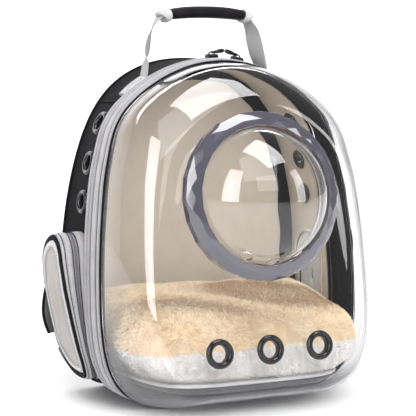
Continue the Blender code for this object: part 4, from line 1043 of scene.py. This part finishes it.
# The pile: short curved blades that stand on the pad and lie over in slowly turning directions.
rng = np.random.default_rng(11)
pad.data.calc_loop_triangles()
at = np.array([v.co for v in pad.data.vertices])
tris = np.array([t.vertices for t in pad.data.loop_triangles])
tris = tris[at[tris].mean(axis=1)[:, 2] > PAD_LOW + 0.001]
cross = np.cross(at[tris[:, 1]] - at[tris[:, 0]], at[tris[:, 2]] - at[tris[:, 0]])
area = np.linalg.norm(cross, axis=1)
number = 62000            # blades
pick = rng.choice(len(tris), number, p=area / area.sum())
r1, r2 = np.sqrt(rng.random(number)), rng.random(number)
foot = (at[tris[pick, 0]] * (1 - r1)[:, None] + at[tris[pick, 1]] * (r1 * (1 - r2))[:, None]
        + at[tris[pick, 2]] * (r1 * r2)[:, None])
stand = cross[pick] / area[pick][:, None]
fx, fy, fz = foot.T
heading = (2.2 * np.sin(fx * 24.0 + 3.0 * fy) + 2.6 * np.sin(fy * 33.0 + fx * 11.0 + 1.0)
           + 1.2 * np.sin(fz * 60.0) + rng.normal(0.0, 0.45, number))
lay = np.stack([np.cos(heading), np.sin(heading), -0.5 + 0.4 * np.sin(heading * 1.7)], -1)
lay -= stand * (lay * stand).sum(axis=1)[:, None]
lay /= np.linalg.norm(lay, axis=1)[:, None]
across = np.cross(stand, lay)
long = rng.uniform(0.0032, 0.0058, number)[:, None]
slim = rng.uniform(0.00028, 0.00048, number)[:, None]
mid = foot + stand * long * 0.50 + lay * long * 0.22
tip = foot + stand * long * 0.62 + lay * long * 0.78
blade = np.stack([foot - across * slim, foot + across * slim, mid + across * slim * 0.8,
                  mid - across * slim * 0.8, tip], 1).reshape(-1, 3)
steps = np.arange(number)[:, None] * 5
quads = steps + np.array([[0, 1, 2, 3]])
caps_tri = steps + np.array([[3, 2, 4]])
mesh = bpy.data.meshes.new("plush_pile")
mesh.from_pydata(blade.tolist(), [], quads.tolist() + caps_tri.tolist())
layer = mesh.uv_layers.new(name="UVMap")
height = np.tile(np.array([0.0, 0.0, 0.55, 0.55, 1.0]), number)
corner = np.empty(len(mesh.loops), int)
mesh.loops.foreach_get("vertex_index", corner)
# each blade's tone: random, and with painted shade where the tuft pattern dips between tufts
blade_tone_and_tuft_shade = np.sin(fx * 410.0 + 2.0 * np.sin(fy * 150.0)) * np.sin(fy * 370.0 + 2.0 * np.sin(fx * 170.0))
blade_tone_and_tuft_shade = np.clip(0.62 + 0.42 * blade_tone_and_tuft_shade + rng.normal(0.0, 0.16, number), 0.0, 1.0)
layer.data.foreach_set("uv", np.stack([blade_tone_and_tuft_shade[corner // 5], height[corner]], -1).reshape(-1))
mesh.shade_smooth()
pile = bpy.data.objects.new("plush_pile", mesh)
bpy.context.collection.objects.link(pile)
dress(pile, plush_material("plush_pile_fibre", True), "plush")

# Mesh windows: a knitted diamond net in pale grey, its holes painted a darker grey as shade, let into each
# side wall.  A beige tape sewn round it on the inside covers its edge.


NET_THREADS = 1150.0      # turns of the sine per metre


def window_line(grow, count):
    # rounded rectangle in y and z, even steps
    y0, y1, z0, z1 = WINDOW_Y[0] - grow, WINDOW_Y[1] + grow, WINDOW_Z[0] - grow, WINDOW_Z[1] + grow
    r = WINDOW_CORNER + grow
    pts = []
    for cy, cz, first in ((y1 - r, z1 - r, 0), (y0 + r, z1 - r, 90),
                          (y0 + r, z0 + r, 180), (y1 - r, z0 + r, 270)):
        for step in range(9):
            a = math.radians(first + 90.0 * step / 8)
            pts.append((cy + r * math.cos(a), cz + r * math.sin(a)))
    loop = np.array(pts + pts[:1])
    run = np.concatenate([[0], np.cumsum(np.linalg.norm(np.diff(loop, axis=0), axis=1))])
    wanted = np.linspace(0, run[-1], count + 1)[:-1]
    return np.stack([np.interp(wanted, run, loop[:, k]) for k in range(2)], -1)


def net_material():
    # threads of a knitted net, crossing at a slant, pale, with painted shade in the holes between them
    mat, tree, shader = new_material("diamond_net")
    _, y, z = coords(tree, "Object")
    slants = (sums(tree, "MULTIPLY", sums(tree, kind, y, z), NET_THREADS) for kind in ("ADD", "SUBTRACT"))
    hole = sums(tree, "MULTIPLY", *(sums(tree, "ABSOLUTE", sums(tree, "SINE", slant)) for slant in slants))
    # painted shade: the holes are darker grey than the threads
    tree.links.new(blended(tree, hole, (0.93, 0.93, 0.92), (0.52, 0.52, 0.52)), shader.inputs["Base Color"])
    shader.inputs["Roughness"].default_value = 0.7
    relieved(tree, shader, hole, 0.8, 0.0005, True)
    return mat


net = net_material()
mid_window = np.array([sum(WINDOW_Y) / 2, sum(WINDOW_Z) / 2])
for sign, label in ((-1, "left"), (1, "right")):
    line = window_line(-0.0008, 72)
    rows = []
    for t in (1.0, 0.93, 0.82, 0.66, 0.46, 0.24, 0.05):
        spots = mid_window + (line - mid_window) * t
        rows.append([(sign * (wall_point(y, z)[0] - 0.0020 + 0.0008 * (1 - t)), y, z) for y, z in spots])
    sheet = skin("mesh_window_%s_net" % label, rows, True)
    modify(sheet, "SOLIDIFY", thickness=0.0010, offset=0.0)
    dress(sheet, net, "grey_mesh", "mesh_window_%s" % label)
    edge_line = window_line(0.0022, 96)
    rows = []
    for a in round_angles(10):
        grown = edge_line + (edge_line - mid_window) * 0.0028 * math.cos(a) / (0.04, 0.06)
        inner = -WALL - LINING - 0.0021 + 0.0009 * math.sin(a)
        rows.append([(sign * (wall_point(y, z)[0] + inner), y, z) for y, z in grown])
    dress(skin("mesh_window_%s_binding" % label, rows, True, True), beige, "beige_lining")

# Side pockets: a wide band of grey webbing with a zip let into it stands off the wall, black piping runs
# round its outer edge, and a bulging panel of grey-beige polyester with a stitched border closes it.

POCKET_REACH = [
    # height, and how far from the middle of the carrier the pocket reaches there
    (0.020, 0.1530), (0.045, 0.1600), (0.061, 0.1650), (0.095, 0.1725), (0.129, 0.1790),
    (0.160, 0.1830), (0.195, 0.1840)]
LAP = 132                 # points around a pocket


def pocket_front(z):
    # just behind the frame
    return float(seam_y(z) + band_depth(FRAME_DEPTH, z)) + 0.0022


pocket_line = smooth_run([
    (pocket_front(0.040) + 0.004, 0.036), (pocket_front(0.055), 0.055), (pocket_front(0.080), 0.080),
    (pocket_front(0.110), 0.110), (pocket_front(0.140), 0.140), (pocket_front(0.165) + 0.0005, 0.165),
    (pocket_front(0.180) + 0.006, 0.180), (0.062 - ORIGIN_Y, 0.188), (0.080 - ORIGIN_Y, 0.1840),
    (0.095 - ORIGIN_Y, 0.1720), (0.1040 - ORIGIN_Y, 0.1520), (0.1075 - ORIGIN_Y, 0.125),
    (0.108 - ORIGIN_Y, 0.095), (0.1060 - ORIGIN_Y, 0.065), (0.0980 - ORIGIN_Y, 0.043),
    (0.082 - ORIGIN_Y, 0.0315), (0.062 - ORIGIN_Y, 0.028), (0.044 - ORIGIN_Y, 0.0300)], LAP, True)
centre = pocket_line.mean(axis=0)
run = np.roll(pocket_line, -1, axis=0) - np.roll(pocket_line, 1, axis=0)
run /= np.linalg.norm(run, axis=1)[:, None]
pocket_out = np.stack([run[:, 1], -run[:, 0]], -1)
if ((pocket_line[0] - centre) * pocket_out[0]).sum() < 0:
    pocket_out = -pocket_out


def pocket_loop(sign, share, extra, inset):
    # loop round a pocket a share of the way out from the wall, moved further out and drawn in
    row = []
    for (y, z), (ny, nz) in zip(pocket_line, pocket_out):
        py, pz = y - ny * inset, z - nz * inset
        wall_x, wall_out = wall_point(py, pz)
        root = wall_x + 0.0024 / wall_out[0]
        reach = float(np.interp(z, [h for h, _ in POCKET_REACH], [r for _, r in POCKET_REACH]))
        row.append((sign * (root + (reach - root) * share + extra), py, pz))
    return np.array(row)


def pocket_row(sign, share, proud, spacing):
    # even places round the pocket, with the way along it and the way out at each
    places, ways = along(pocket_loop(sign, share, 0.0, -proud), spacing)
    return places, ways, (places - (0.0, centre[0], centre[1])) * (0.0, 1.0, 1.0)


panel_cloth = cloth("pocket_polyester", (0.47, 0.43, 0.405), (0.385, 0.35, 0.33), 1300.0, 0.6, 0.5, 0.4)
edge_tape = cloth("pale_edge_tape", (0.80, 0.79, 0.79), (0.66, 0.65, 0.65), 1100.0, 0.6, 0.5, 0.4)
zip_grey = cloth("grey_zip_tape", (0.27, 0.255, 0.30), (0.19, 0.18, 0.215), 1200.0, 0.5, 0.4, 0.3)
cord_cloth = cloth("violet_black_cord", (0.035, 0.031, 0.045), (0.018, 0.016, 0.024), 1500.0, 0.6, 0.4,
                   0.0, 0.5, 0.1)
BAND = [
    # share of the way out, how far the webbing stands proud: three padded strips and the grooves between
    (0.00, 0.0006), (0.04, 0.0016), (0.14, 0.0024), (0.28, 0.0024), (0.37, 0.0014), (0.40, -0.0002),
    (0.60, -0.0002), (0.63, 0.0014), (0.70, 0.0022), (0.80, 0.0022), (0.86, 0.0012), (0.875, -0.0001),
    (0.885, -0.0001), (0.90, 0.0010), (0.945, 0.0016), (0.985, 0.0010), (1.0, 0.0)]
for sign, label in ((-1, "left"), (1, "right")):
    rows = [pocket_loop(sign, share, 0.0, -proud) for share, proud in BAND]
    rows += [pocket_loop(sign, share, 0.0, 0.0020) for share in (1.0, 0.5, 0.0)]
    dress(skin("pocket_%s_webbing" % label, rows, True, True), grey_band, "grey_band",
          "pocket_%s_band" % label)
    rows = [pocket_loop(sign, share, 0.0, -proud) for share, proud in (
        (0.425, 0.0002), (0.425, 0.0007), (0.485, 0.0008), (0.492, 0.0004), (0.508, 0.0004), (0.515, 0.0008),
        (0.575, 0.0007), (0.575, 0.0002))]
    dress(skin("pocket_%s_zip_tape" % label, rows, True, True), zip_grey, "zip_coil", "pocket_%s_zip" % label)
    for number, (share, proud) in enumerate(((0.385, 0.0008), (0.615, 0.0008), (0.88, 0.0004))):
        rows = [pocket_loop(sign, share + 0.016 * math.cos(a), 0.0, -(proud + 0.0009 * math.sin(a)))
                for a in round_angles(8)]
        dress(skin("pocket_%s_cord_%d" % (label, number), rows, True, True), cord_cloth, "black_binding")
    dress(repeated("pocket_%s_zip_teeth" % label, tooth_seed(0.0018),
                   *pocket_row(sign, 0.5, 0.0008, ZIP_STEP)), nylon, "zip_coil")
    for number, (share, proud) in enumerate(((0.06, 0.0020), (0.35, 0.0019), (0.65, 0.0018), (0.84, 0.0018))):
        dress(repeated("pocket_%s_stitches_%d" % (label, number), stitch_seed(0.0024, 0.0005),
                       *pocket_row(sign, share, proud, STITCH_STEP)), thread, "grey_band")
    rows = [pocket_loop(sign, 1.0, 0.0013 + 0.0014 * math.sin(a), 0.0028 + 0.0034 * math.cos(a))
            for a in round_angles(12)]
    dress(skin("pocket_%s_piping_tape" % label, rows, True, True), black_band, "black_binding",
          "pocket_%s_piping" % label)
    border = pocket_loop(sign, 1.0, 0.0012, 0.0060)
    hub = border.mean(axis=0)
    rows = [pocket_loop(sign, 1.0, 0.0006, 0.0060), border]
    for t in np.linspace(0.0, 0.98, 16):
        swell_out = 0.0036 * math.sin(math.pi / 2 * min(t / 0.5, 1.0)) - 0.0006 * math.sin(t * 9.0)
        loop = drawn_in(border, hub, t)
        creases = 0.0005 * np.sin(loop[:, 2] * 130.0 + loop[:, 1] * 60.0) * min(t * 4, 1.0)
        loop[:, 0] += sign * (swell_out + creases)
        rows.append(loop)
    panel = skin("pocket_%s_panel_cloth" % label, rows, True)
    modify(panel, "SOLIDIFY", thickness=0.0011, offset=0.0)
    dress(panel, panel_cloth, "pocket_panel", "pocket_%s_panel" % label)
    rows = [drawn_in(border, hub, inset, (sign * rise, 0.0, 0.0)) for inset, rise in (
        (0.0, 0.0004), (0.0, 0.0014), (0.010, 0.0024), (0.040, 0.0029), (0.075, 0.0031),
        (0.090, 0.0027), (0.090, 0.0014))]
    dress(skin("pocket_%s_border" % label, rows, True, True), edge_tape, "grey_band")
    for number, (inset, rise) in enumerate(((0.018, 0.0029), (0.078, 0.0034))):
        places, ways = along(drawn_in(border, hub, inset, (sign * rise, 0.0, 0.0)), 0.0033)
        ups = np.tile([float(sign), 0.0, 0.0], (len(places), 1))
        dress(repeated("pocket_%s_border_stitches_%d" % (label, number), stitch_seed(0.0023, 0.00055),
                       places, ways, ups), thread, "grey_band")

# Handle: one length of webbing sewn down at both shoulders with crossed stitching, twisted a little on
# its way up, with a cloth-covered foam grip in the middle between two webbing keepers.

HANDLE_Y = 0.0665 - ORIGIN_Y
HANDLE_WIDTH = 0.020
HANDLE_THICK = 0.0016


def arch_top(x, y):
    # height of the body wall above this x
    share = (y - FRAME_DEPTH + ORIGIN_Y) / (BODY_BACK - FRAME_DEPTH + ORIGIN_Y)
    line = outline * (BODY_SIDE, 1.0) * (1 - share) + back_outline * share
    upper = line[ARCH // 4:ARCH // 2 + 1]
    return float(np.interp(abs(x), upper[::-1, 0], upper[::-1, 1]))


def across_path(path, k, side):
    # at one place of a path: the given side squared to the way along, and the way up from both
    ahead_dir = path[min(k + 1, len(path) - 1)] - path[max(k - 1, 0)]
    ahead_dir = ahead_dir / np.linalg.norm(ahead_dir)
    side = side - ahead_dir * np.dot(side, ahead_dir)
    side = side / np.linalg.norm(side)
    return side, np.cross(ahead_dir, side)


def strip(name, path, widths, thicks, sides, count, points=20, square=0.35):
    # flat strip with rounded edges along a path, its width turned to the side given at each place
    table = np.concatenate([np.array(path, float), np.array(widths, float)[:, None],
                            np.array(thicks, float)[:, None], np.array(sides, float) * 0.01], 1)
    table = smooth_run(table, count)
    rows = []
    for k in range(count):
        here, wide, thick = table[k, :3], table[k, 3], table[k, 4]
        turn_dir, up_dir = across_path(table[:, :3], k, table[k, 5:8])
        row = []
        for a in round_angles(points):
            c, s = math.cos(a), math.sin(a)
            row.append(here + turn_dir * wide / 2 * math.copysign(abs(c) ** square, c)
                       + up_dir * thick / 2 * math.copysign(abs(s) ** (square * 1.6), s))
        rows.append(row)
    return skin(name, rows, True, caps=True)


lie = HANDLE_THICK / 2 + 0.0007
side_path = []
for x in (0.1000, 0.0920, 0.0840, 0.0760):
    rise = (arch_top(x - 0.002, HANDLE_Y + 0.014) - arch_top(x + 0.002, HANDLE_Y + 0.014)) / 0.004
    n = np.array([rise, 1.0]) / math.hypot(rise, 1.0)
    side_path.append((x + n[0] * lie, HANDLE_Y, arch_top(x, HANDLE_Y + 0.014) + n[1] * lie))
anchor_path = list(side_path)
side_path += [(x, HANDLE_Y, z) for x, z in (
    (0.0735, 0.3765), (0.0722, 0.3860), (0.0700, 0.4000), (0.0660, 0.4130), (0.0600, 0.4235),
    (0.0530, 0.4290), (0.0400, 0.4315), (0.0200, 0.4332))]
# the right leg leans in more than the left one
LEAN_HEIGHTS = (0.3720, 0.3765, 0.3860, 0.4000, 0.4235, 0.4290, 0.4315)
LEAN_IN = (0.0, 0.0030, 0.0052, 0.0068, 0.0060, 0.0030, 0.0)
path = [(x - float(np.interp(z, LEAN_HEIGHTS, LEAN_IN)), y, z) for x, y, z in side_path]
path += [(0.0, HANDLE_Y, 0.4336)] + [(-x, y, z) for x, y, z in reversed(side_path)]
turns = [math.radians(np.interp(z, [0.3690, 0.3765, 0.3860, 0.4000, 0.4130, 0.4235, 0.4290],
                                [0.0, 24.0 if x > 0 else 6.0, 34.0, 38.0, 24.0, 8.0, 0.0]))
         for x, y, z in path]
sides = [(math.copysign(math.sin(a), -spot[0]), math.cos(a), 0.0) for a, spot in zip(turns, path)]
webbing = cloth("grey_webbing", (0.52, 0.52, 0.52), (0.38, 0.38, 0.38), 700.0, 0.7, 0.9, 0.3)
dress(strip("handle_webbing_strip", path, [HANDLE_WIDTH] * len(path), [HANDLE_THICK] * len(path), sides, 150),
      webbing, "grey_webbing", "handle_webbing")
patch_cloth = cloth("pale_webbing", (0.68, 0.68, 0.675), (0.54, 0.54, 0.54), 800.0, 0.7, 0.9, 0.3)
for sign, label in ((-1, "left"), (1, "right")):
    line = [np.array((sign * (x + 0.0009), y, z + 0.0013)) for x, y, z in anchor_path]
    dress(strip("handle_anchor_" + label, line, [HANDLE_WIDTH + 0.0004] * 4, [0.0013] * 4,
                [(0.0, 1.0, 0.0)] * 4, 24), patch_cloth, "grey_webbing")
    # box with a cross in it, sewn through both layers
    start, end = line[0] * 0.92 + line[1] * 0.08, line[2] * 0.35 + line[3] * 0.65
    run_dir = (end - start) / np.linalg.norm(end - start)
    lift_dir = np.cross(run_dir, (0.0, 1.0, 0.0))
    lift_dir = lift_dir * math.copysign(1.0, lift_dir[2])
    wide = np.array((0.0, 0.0080, 0.0))
    corners = [start - wide, start + wide, end + wide, end - wide]
    spots, headings = [], []
    for a, b in ((0, 1), (1, 2), (2, 3), (3, 0), (0, 2), (1, 3)):
        span = corners[b] - corners[a]
        number = max(int(np.linalg.norm(span) / 0.0030), 2)
        for k in range(number):
            spot = corners[a] + span * (k + 0.5) / number
            t = np.dot(spot - start, run_dir) / np.linalg.norm(end - start)
            bow = 0.0016 * math.sin(math.pi * t)
            spots.append(spot + lift_dir * (0.0009 + bow))
            headings.append(span / np.linalg.norm(span))
    dress(repeated("handle_anchor_stitches_" + label, stitch_seed(0.0022, 0.0006), np.array(spots),
                   np.array(headings), np.tile(lift_dir, (len(spots), 1))), thread, "grey_webbing")


def handle_z(x):
    return float(np.interp(abs(x), [0.0, 0.020, 0.040, 0.053, 0.060],
                           [0.4336, 0.4332, 0.4315, 0.4290, 0.4235]))


def sleeve(name, xs, half_wide, half_high, count):
    # tube of flattened section round the webbing
    table = smooth_run(list(zip(xs, [handle_z(x) for x in xs], half_wide, half_high)), count)
    deep_dir = np.array([0.0, 1.0, 0.0])
    outside, inside = [], []
    for k in range(count):
        step = table[min(k + 1, count - 1), :2] - table[max(k - 1, 0), :2]
        step = step / np.linalg.norm(step)
        up_dir = np.array([-step[1], 0.0, step[0]])
        spot = np.array([table[k, 0], HANDLE_Y, table[k, 1]])
        ring_out, ring_in = [], []
        for a in round_angles(36):
            c, s = math.cos(a), math.sin(a)
            ring_out.append(spot + deep_dir * table[k, 2] * math.copysign(abs(c) ** 0.85, c)
                            + up_dir * table[k, 3] * math.copysign(abs(s) ** 0.85, s))
            ring_in.append(spot + deep_dir * 0.0108 * math.copysign(abs(c) ** 0.3, c)
                           + up_dir * 0.0020 * math.copysign(abs(s) ** 0.4, s))
        outside.append(ring_out)
        inside.append(ring_in)
    return skin(name, outside + inside[::-1], True, True)


grip_cloth = cloth("black_grip_cloth", (0.014, 0.012, 0.015), (0.006, 0.0055, 0.007), 1500.0, 0.6, 0.6,
                   0.0, 0.5, 0.1)
grip = sleeve("handle_grip_cover", [-0.0452, -0.0440, -0.030, -0.015, 0.0, 0.015, 0.030, 0.0440, 0.0452],
              [0.0124, 0.0134, 0.0140, 0.0142, 0.0142, 0.0142, 0.0140, 0.0134, 0.0124],
              [0.0046, 0.0058, 0.0065, 0.0067, 0.0067, 0.0067, 0.0065, 0.0058, 0.0046], 60)
dress(grip, grip_cloth, "grip_foam", "handle_grip")
for sign, label in ((-1, "left"), (1, "right")):
    xs = [sign * x for x in (0.0459, 0.0466, 0.0500, 0.0535, 0.0550)]
    keeper = sleeve("handle_keeper_loop_" + label, xs, [0.0122, 0.0130, 0.0134, 0.0130, 0.0121],
                    [0.0064, 0.0076, 0.0081, 0.0077, 0.0064], 16)
    dress(keeper, patch_cloth, "grey_webbing", "handle_keeper_" + label)

# Zip sliders at the top of the rear zip: cast and blackened, each a body with a bridge and a pull that
# lies over; the pulls have a window and a ribbed end.

zip_y = float(seam_y(SEAM_HEIGHT)) + float(band_depth(0.0336, SEAM_HEIGHT))
crest_x, crest_z = zip(*sorted((x, z) for x, y, z in frame_loop(0.0390, 0.0042) if z > 0.33))
dark_metal, tree, shader = new_material("blackened_metal")
uneven = unevenness(tree, 300.0)
tree.links.new(blended(tree, uneven.outputs["Shade"], (0.012, 0.012, 0.013), (0.06, 0.058, 0.058)),
               shader.inputs["Base Color"])
tree.links.new(sums(tree, "MULTIPLY_ADD", uneven.outputs["Fibre"], 0.25, 0.18), shader.inputs["Roughness"])
shader.inputs["Metallic"].default_value = 1.0


def block(name, x0, x1, half_y, z0, z1, taper=1.0, bevel=0.0006):
    # a box with broken edges, narrower at its top by the taper
    alone()
    bpy.ops.mesh.primitive_cube_add(size=1.0)
    made = bpy.context.object
    made.name = made.data.name = name
    for v in made.data.vertices:
        right, above = v.co.x > 0, v.co.z > 0
        half = half_y * (taper if above else 1.0)
        v.co = (x1 if right else x0, math.copysign(half, v.co.y), z1 if above else z0)
    modify(made, "BEVEL", width=bevel, segments=3)
    return made


for label, x, lean in (("left", -0.001, 1.0), ("right", 0.031, -1.0)):
    fore, base, aft = (float(np.interp(at, crest_x, crest_z)) for at in (x + 0.003, x, x - 0.003))
    base += GAP
    slope = (fore - aft) / 0.006
    parts = [block("zip_slider_" + label + "_body", -0.0066, 0.0066, 0.0048, 0.0, 0.0030, 0.85),
             block("slot", -0.0066, 0.0066, 0.0034, 0.0030, 0.0040, 0.7, 0.0004)]
    alone()
    bpy.ops.mesh.primitive_torus_add(major_radius=0.0030, minor_radius=0.0008, major_segments=24,
                                     minor_segments=8)
    bridge = bpy.context.object
    bridge.scale = (1.25, 1.0, 1.0)
    bpy.ops.transform.rotate(value=math.pi / 2, orient_axis="X", center_override=(0.0, 0.0, 0.0))
    settle(bridge)
    for v in bridge.data.vertices:
        v.co.z = max(v.co.z, -0.0006) + 0.0036
    parts.append(bridge)
    slider = joined(parts)
    for v in slider.data.vertices:
        v.co = (x + v.co.x, zip_y + v.co.y, base + v.co.z + slope * v.co.x)
    dress(slider, dark_metal, "dark_metal", "zip_slider_" + label)
    # pull: a flat bar with a window near the slider, thicker and ribbed towards its end
    parts = []
    for name, shift in (("zip_pull_" + label + "_bar", 0.0020), ("arm", -0.0020)):
        arm = block(name, 0.0022, 0.0064, 0.0012, -0.0015, 0.0015, 1.0, 0.0004)
        arm.location.y = shift
        settle(arm)
        parts.append(arm)
    parts.append(block("eye", 0.0008, 0.0028, 0.0032, -0.0016, 0.0016, 1.0, 0.0005))
    parts.append(block("end", 0.0058, 0.0142, 0.0042, -0.0019, 0.0019, 0.85, 0.0008))
    for k in range(4):
        rib = 0.0073 + 0.0017 * k
        parts.append(block("rib", rib, rib + 0.0009, 0.0038, -0.0023, 0.0023, 0.9, 0.0004))
    pull = joined(parts)
    for v in pull.data.vertices:
        reach = v.co.x
        v.co = (x + lean * reach, zip_y + v.co.y + 0.02 * reach, base + 0.0058 + v.co.z + 0.16 * reach
                + slope * lean * reach)
    dress(pull, dark_metal, "dark_metal", "zip_pull_" + label)

# Back: a padded panel of black polyester over foam, quilted in channels, bound round its edge.  It is
# hidden in the photograph, so it follows what such carriers have.

PANEL_FRONT = 0.1254 - ORIGIN_Y
QUILT_X = 0.048                       # the two upright channels, either side of the middle
QUILT_Z, QUILT_STEP = 0.045, 0.062    # the first level channel and the step to the next
rows = [body_loop(1.0, offset, PANEL_FRONT + back) for offset, back in (
    (-0.0060, 0.0), (-0.0008, 0.0002), (-0.0003, 0.0016), (-0.0016, 0.0030), (-0.0050, 0.0034))]
rim = rows[-1]
hub = np.array([0.0, PANEL_FRONT + 0.0034, BACK_MIDDLE])
for t in np.linspace(0.0, 0.985, 44)[1:]:
    loop = drawn_in(rim, hub, t)
    x, z = loop[:, 0], loop[:, 2]
    upright = np.minimum(np.abs(np.abs(x) - QUILT_X), QUILT_X) / QUILT_X
    half = QUILT_STEP / 2
    level = np.minimum(np.abs((z - QUILT_Z) % QUILT_STEP - half), half) / half
    soft = (1 - (1 - np.clip(upright * 4.0, 0, 1)) ** 2) * (1 - np.clip(level * 1.02, 0, 1) ** 6)
    loop[:, 1] += min(t * 9.0, 1.0) * (0.0008 + 0.0030 * soft)
    rows.append(loop)
panel = skin("back_panel_pad", rows, True, caps=True)
air_cloth = cloth("black_air_mesh", (0.020, 0.019, 0.021), (0.007, 0.007, 0.008), 420.0, 0.8, 1.0,
                  0.0, 0.5, 0.08)
dress(panel, air_cloth, "black_fabric", "back_panel")
rows = []
for a in round_angles(10):
    loop = body_loop(1.0, 0.0002 + 0.0016 * math.cos(a), PANEL_FRONT + 0.0018)
    loop[:, 1] += 0.0024 * math.sin(a)
    loop[:, 2] = np.maximum(loop[:, 2], 0.0001)
    rows.append(loop)
dress(skin("back_panel_piping", rows, True, True), black_band, "black_binding")

# Shoulder straps: dark grey padded straps, sewn in under the top of the back panel, that curve out to the
# sides; a webbing strap ties the end of each to the lower corner.

STRAP = [(0.050, 0.1364, 0.352), (0.058, 0.1392, 0.330), (0.070, 0.1460, 0.295), (0.086, 0.1510, 0.250),
         (0.104, 0.1530, 0.200), (0.122, 0.1520, 0.155), (0.138, 0.1490, 0.118), (0.147, 0.1440, 0.088),
         (0.146, 0.1390, 0.066)]
STRAP_STEPS = 130
STRAP_WIDE = [0.046, 0.054, 0.058, 0.058, 0.056, 0.054, 0.052, 0.048, 0.040]
strap_cloth = cloth("dark_grey_strap", (0.135, 0.134, 0.136), (0.085, 0.084, 0.086), 1000.0, 0.7, 0.7, 0.1)
for sign, label in ((-1, "left"), (1, "right")):
    table = smooth_run([(sign * x, y - ORIGIN_Y, z, w) for (x, y, z), w in zip(STRAP, STRAP_WIDE)],
                       STRAP_STEPS)
    pad_rows, edge_rows = [], []
    for k in range(STRAP_STEPS):
        here, wide = table[k, :3], table[k, 3]
        turn_dir, up_dir = across_path(table[:, :3], k, np.array([1.0, 0.0, 0.35 * sign]))
        end = min(k, STRAP_STEPS - 1 - k) / 5.0
        full = 1.0 if end > 1 else math.sqrt(max(end * (2 - end), 0.02))
        pucker = 1.0 + 0.035 * math.sin(k * 0.9)
        row = []
        for a in round_angles(36):
            c, s = math.cos(a), math.sin(a)
            puff = min(1.0, (1.0 - abs(c)) / 0.20) if abs(s) > 1e-6 else 0.0
            row.append(here + turn_dir * c * (wide / 2 - 0.0012)
                       + up_dir * math.copysign(1.0, s) * (0.0010 + 0.0038 * puff ** 0.5 * pucker * full))
        pad_rows.append(row)
        for edge_sign in (-1, 1):
            mid = here + turn_dir * edge_sign * (wide / 2 - 0.0010)
            edge_rows.append([mid + turn_dir * 0.0016 * math.cos(a) + up_dir * 0.0026 * math.sin(a)
                              for a in round_angles(10)])
    strap = skin("shoulder_strap_%s_pad" % label, pad_rows, True, caps=True)
    modify(strap, "SMOOTH", factor=0.5, iterations=2)
    dress(strap, strap_cloth, "strap_fabric", "shoulder_strap_" + label)
    for number, rows in enumerate((edge_rows[0::2], edge_rows[1::2])):
        dress(skin("shoulder_strap_%s_binding_%d" % (label, number), rows, True, caps=True), black_band,
              "black_binding")
    tail = [(sign * 0.1440, 0.1345 - ORIGIN_Y, 0.0520), (sign * 0.1380, 0.1332 - ORIGIN_Y, 0.0400),
            (sign * 0.1280, 0.1326 - ORIGIN_Y, 0.0280), (sign * 0.1150, 0.1323 - ORIGIN_Y, 0.0190)]
    dress(strip("strap_webbing_%s_strip" % label, tail, [0.025] * 4, [0.0018] * 4,
                [(1.0, 0.0, -1.0 * sign)] * 4, 40), webbing, "grey_webbing", "strap_webbing_" + label)
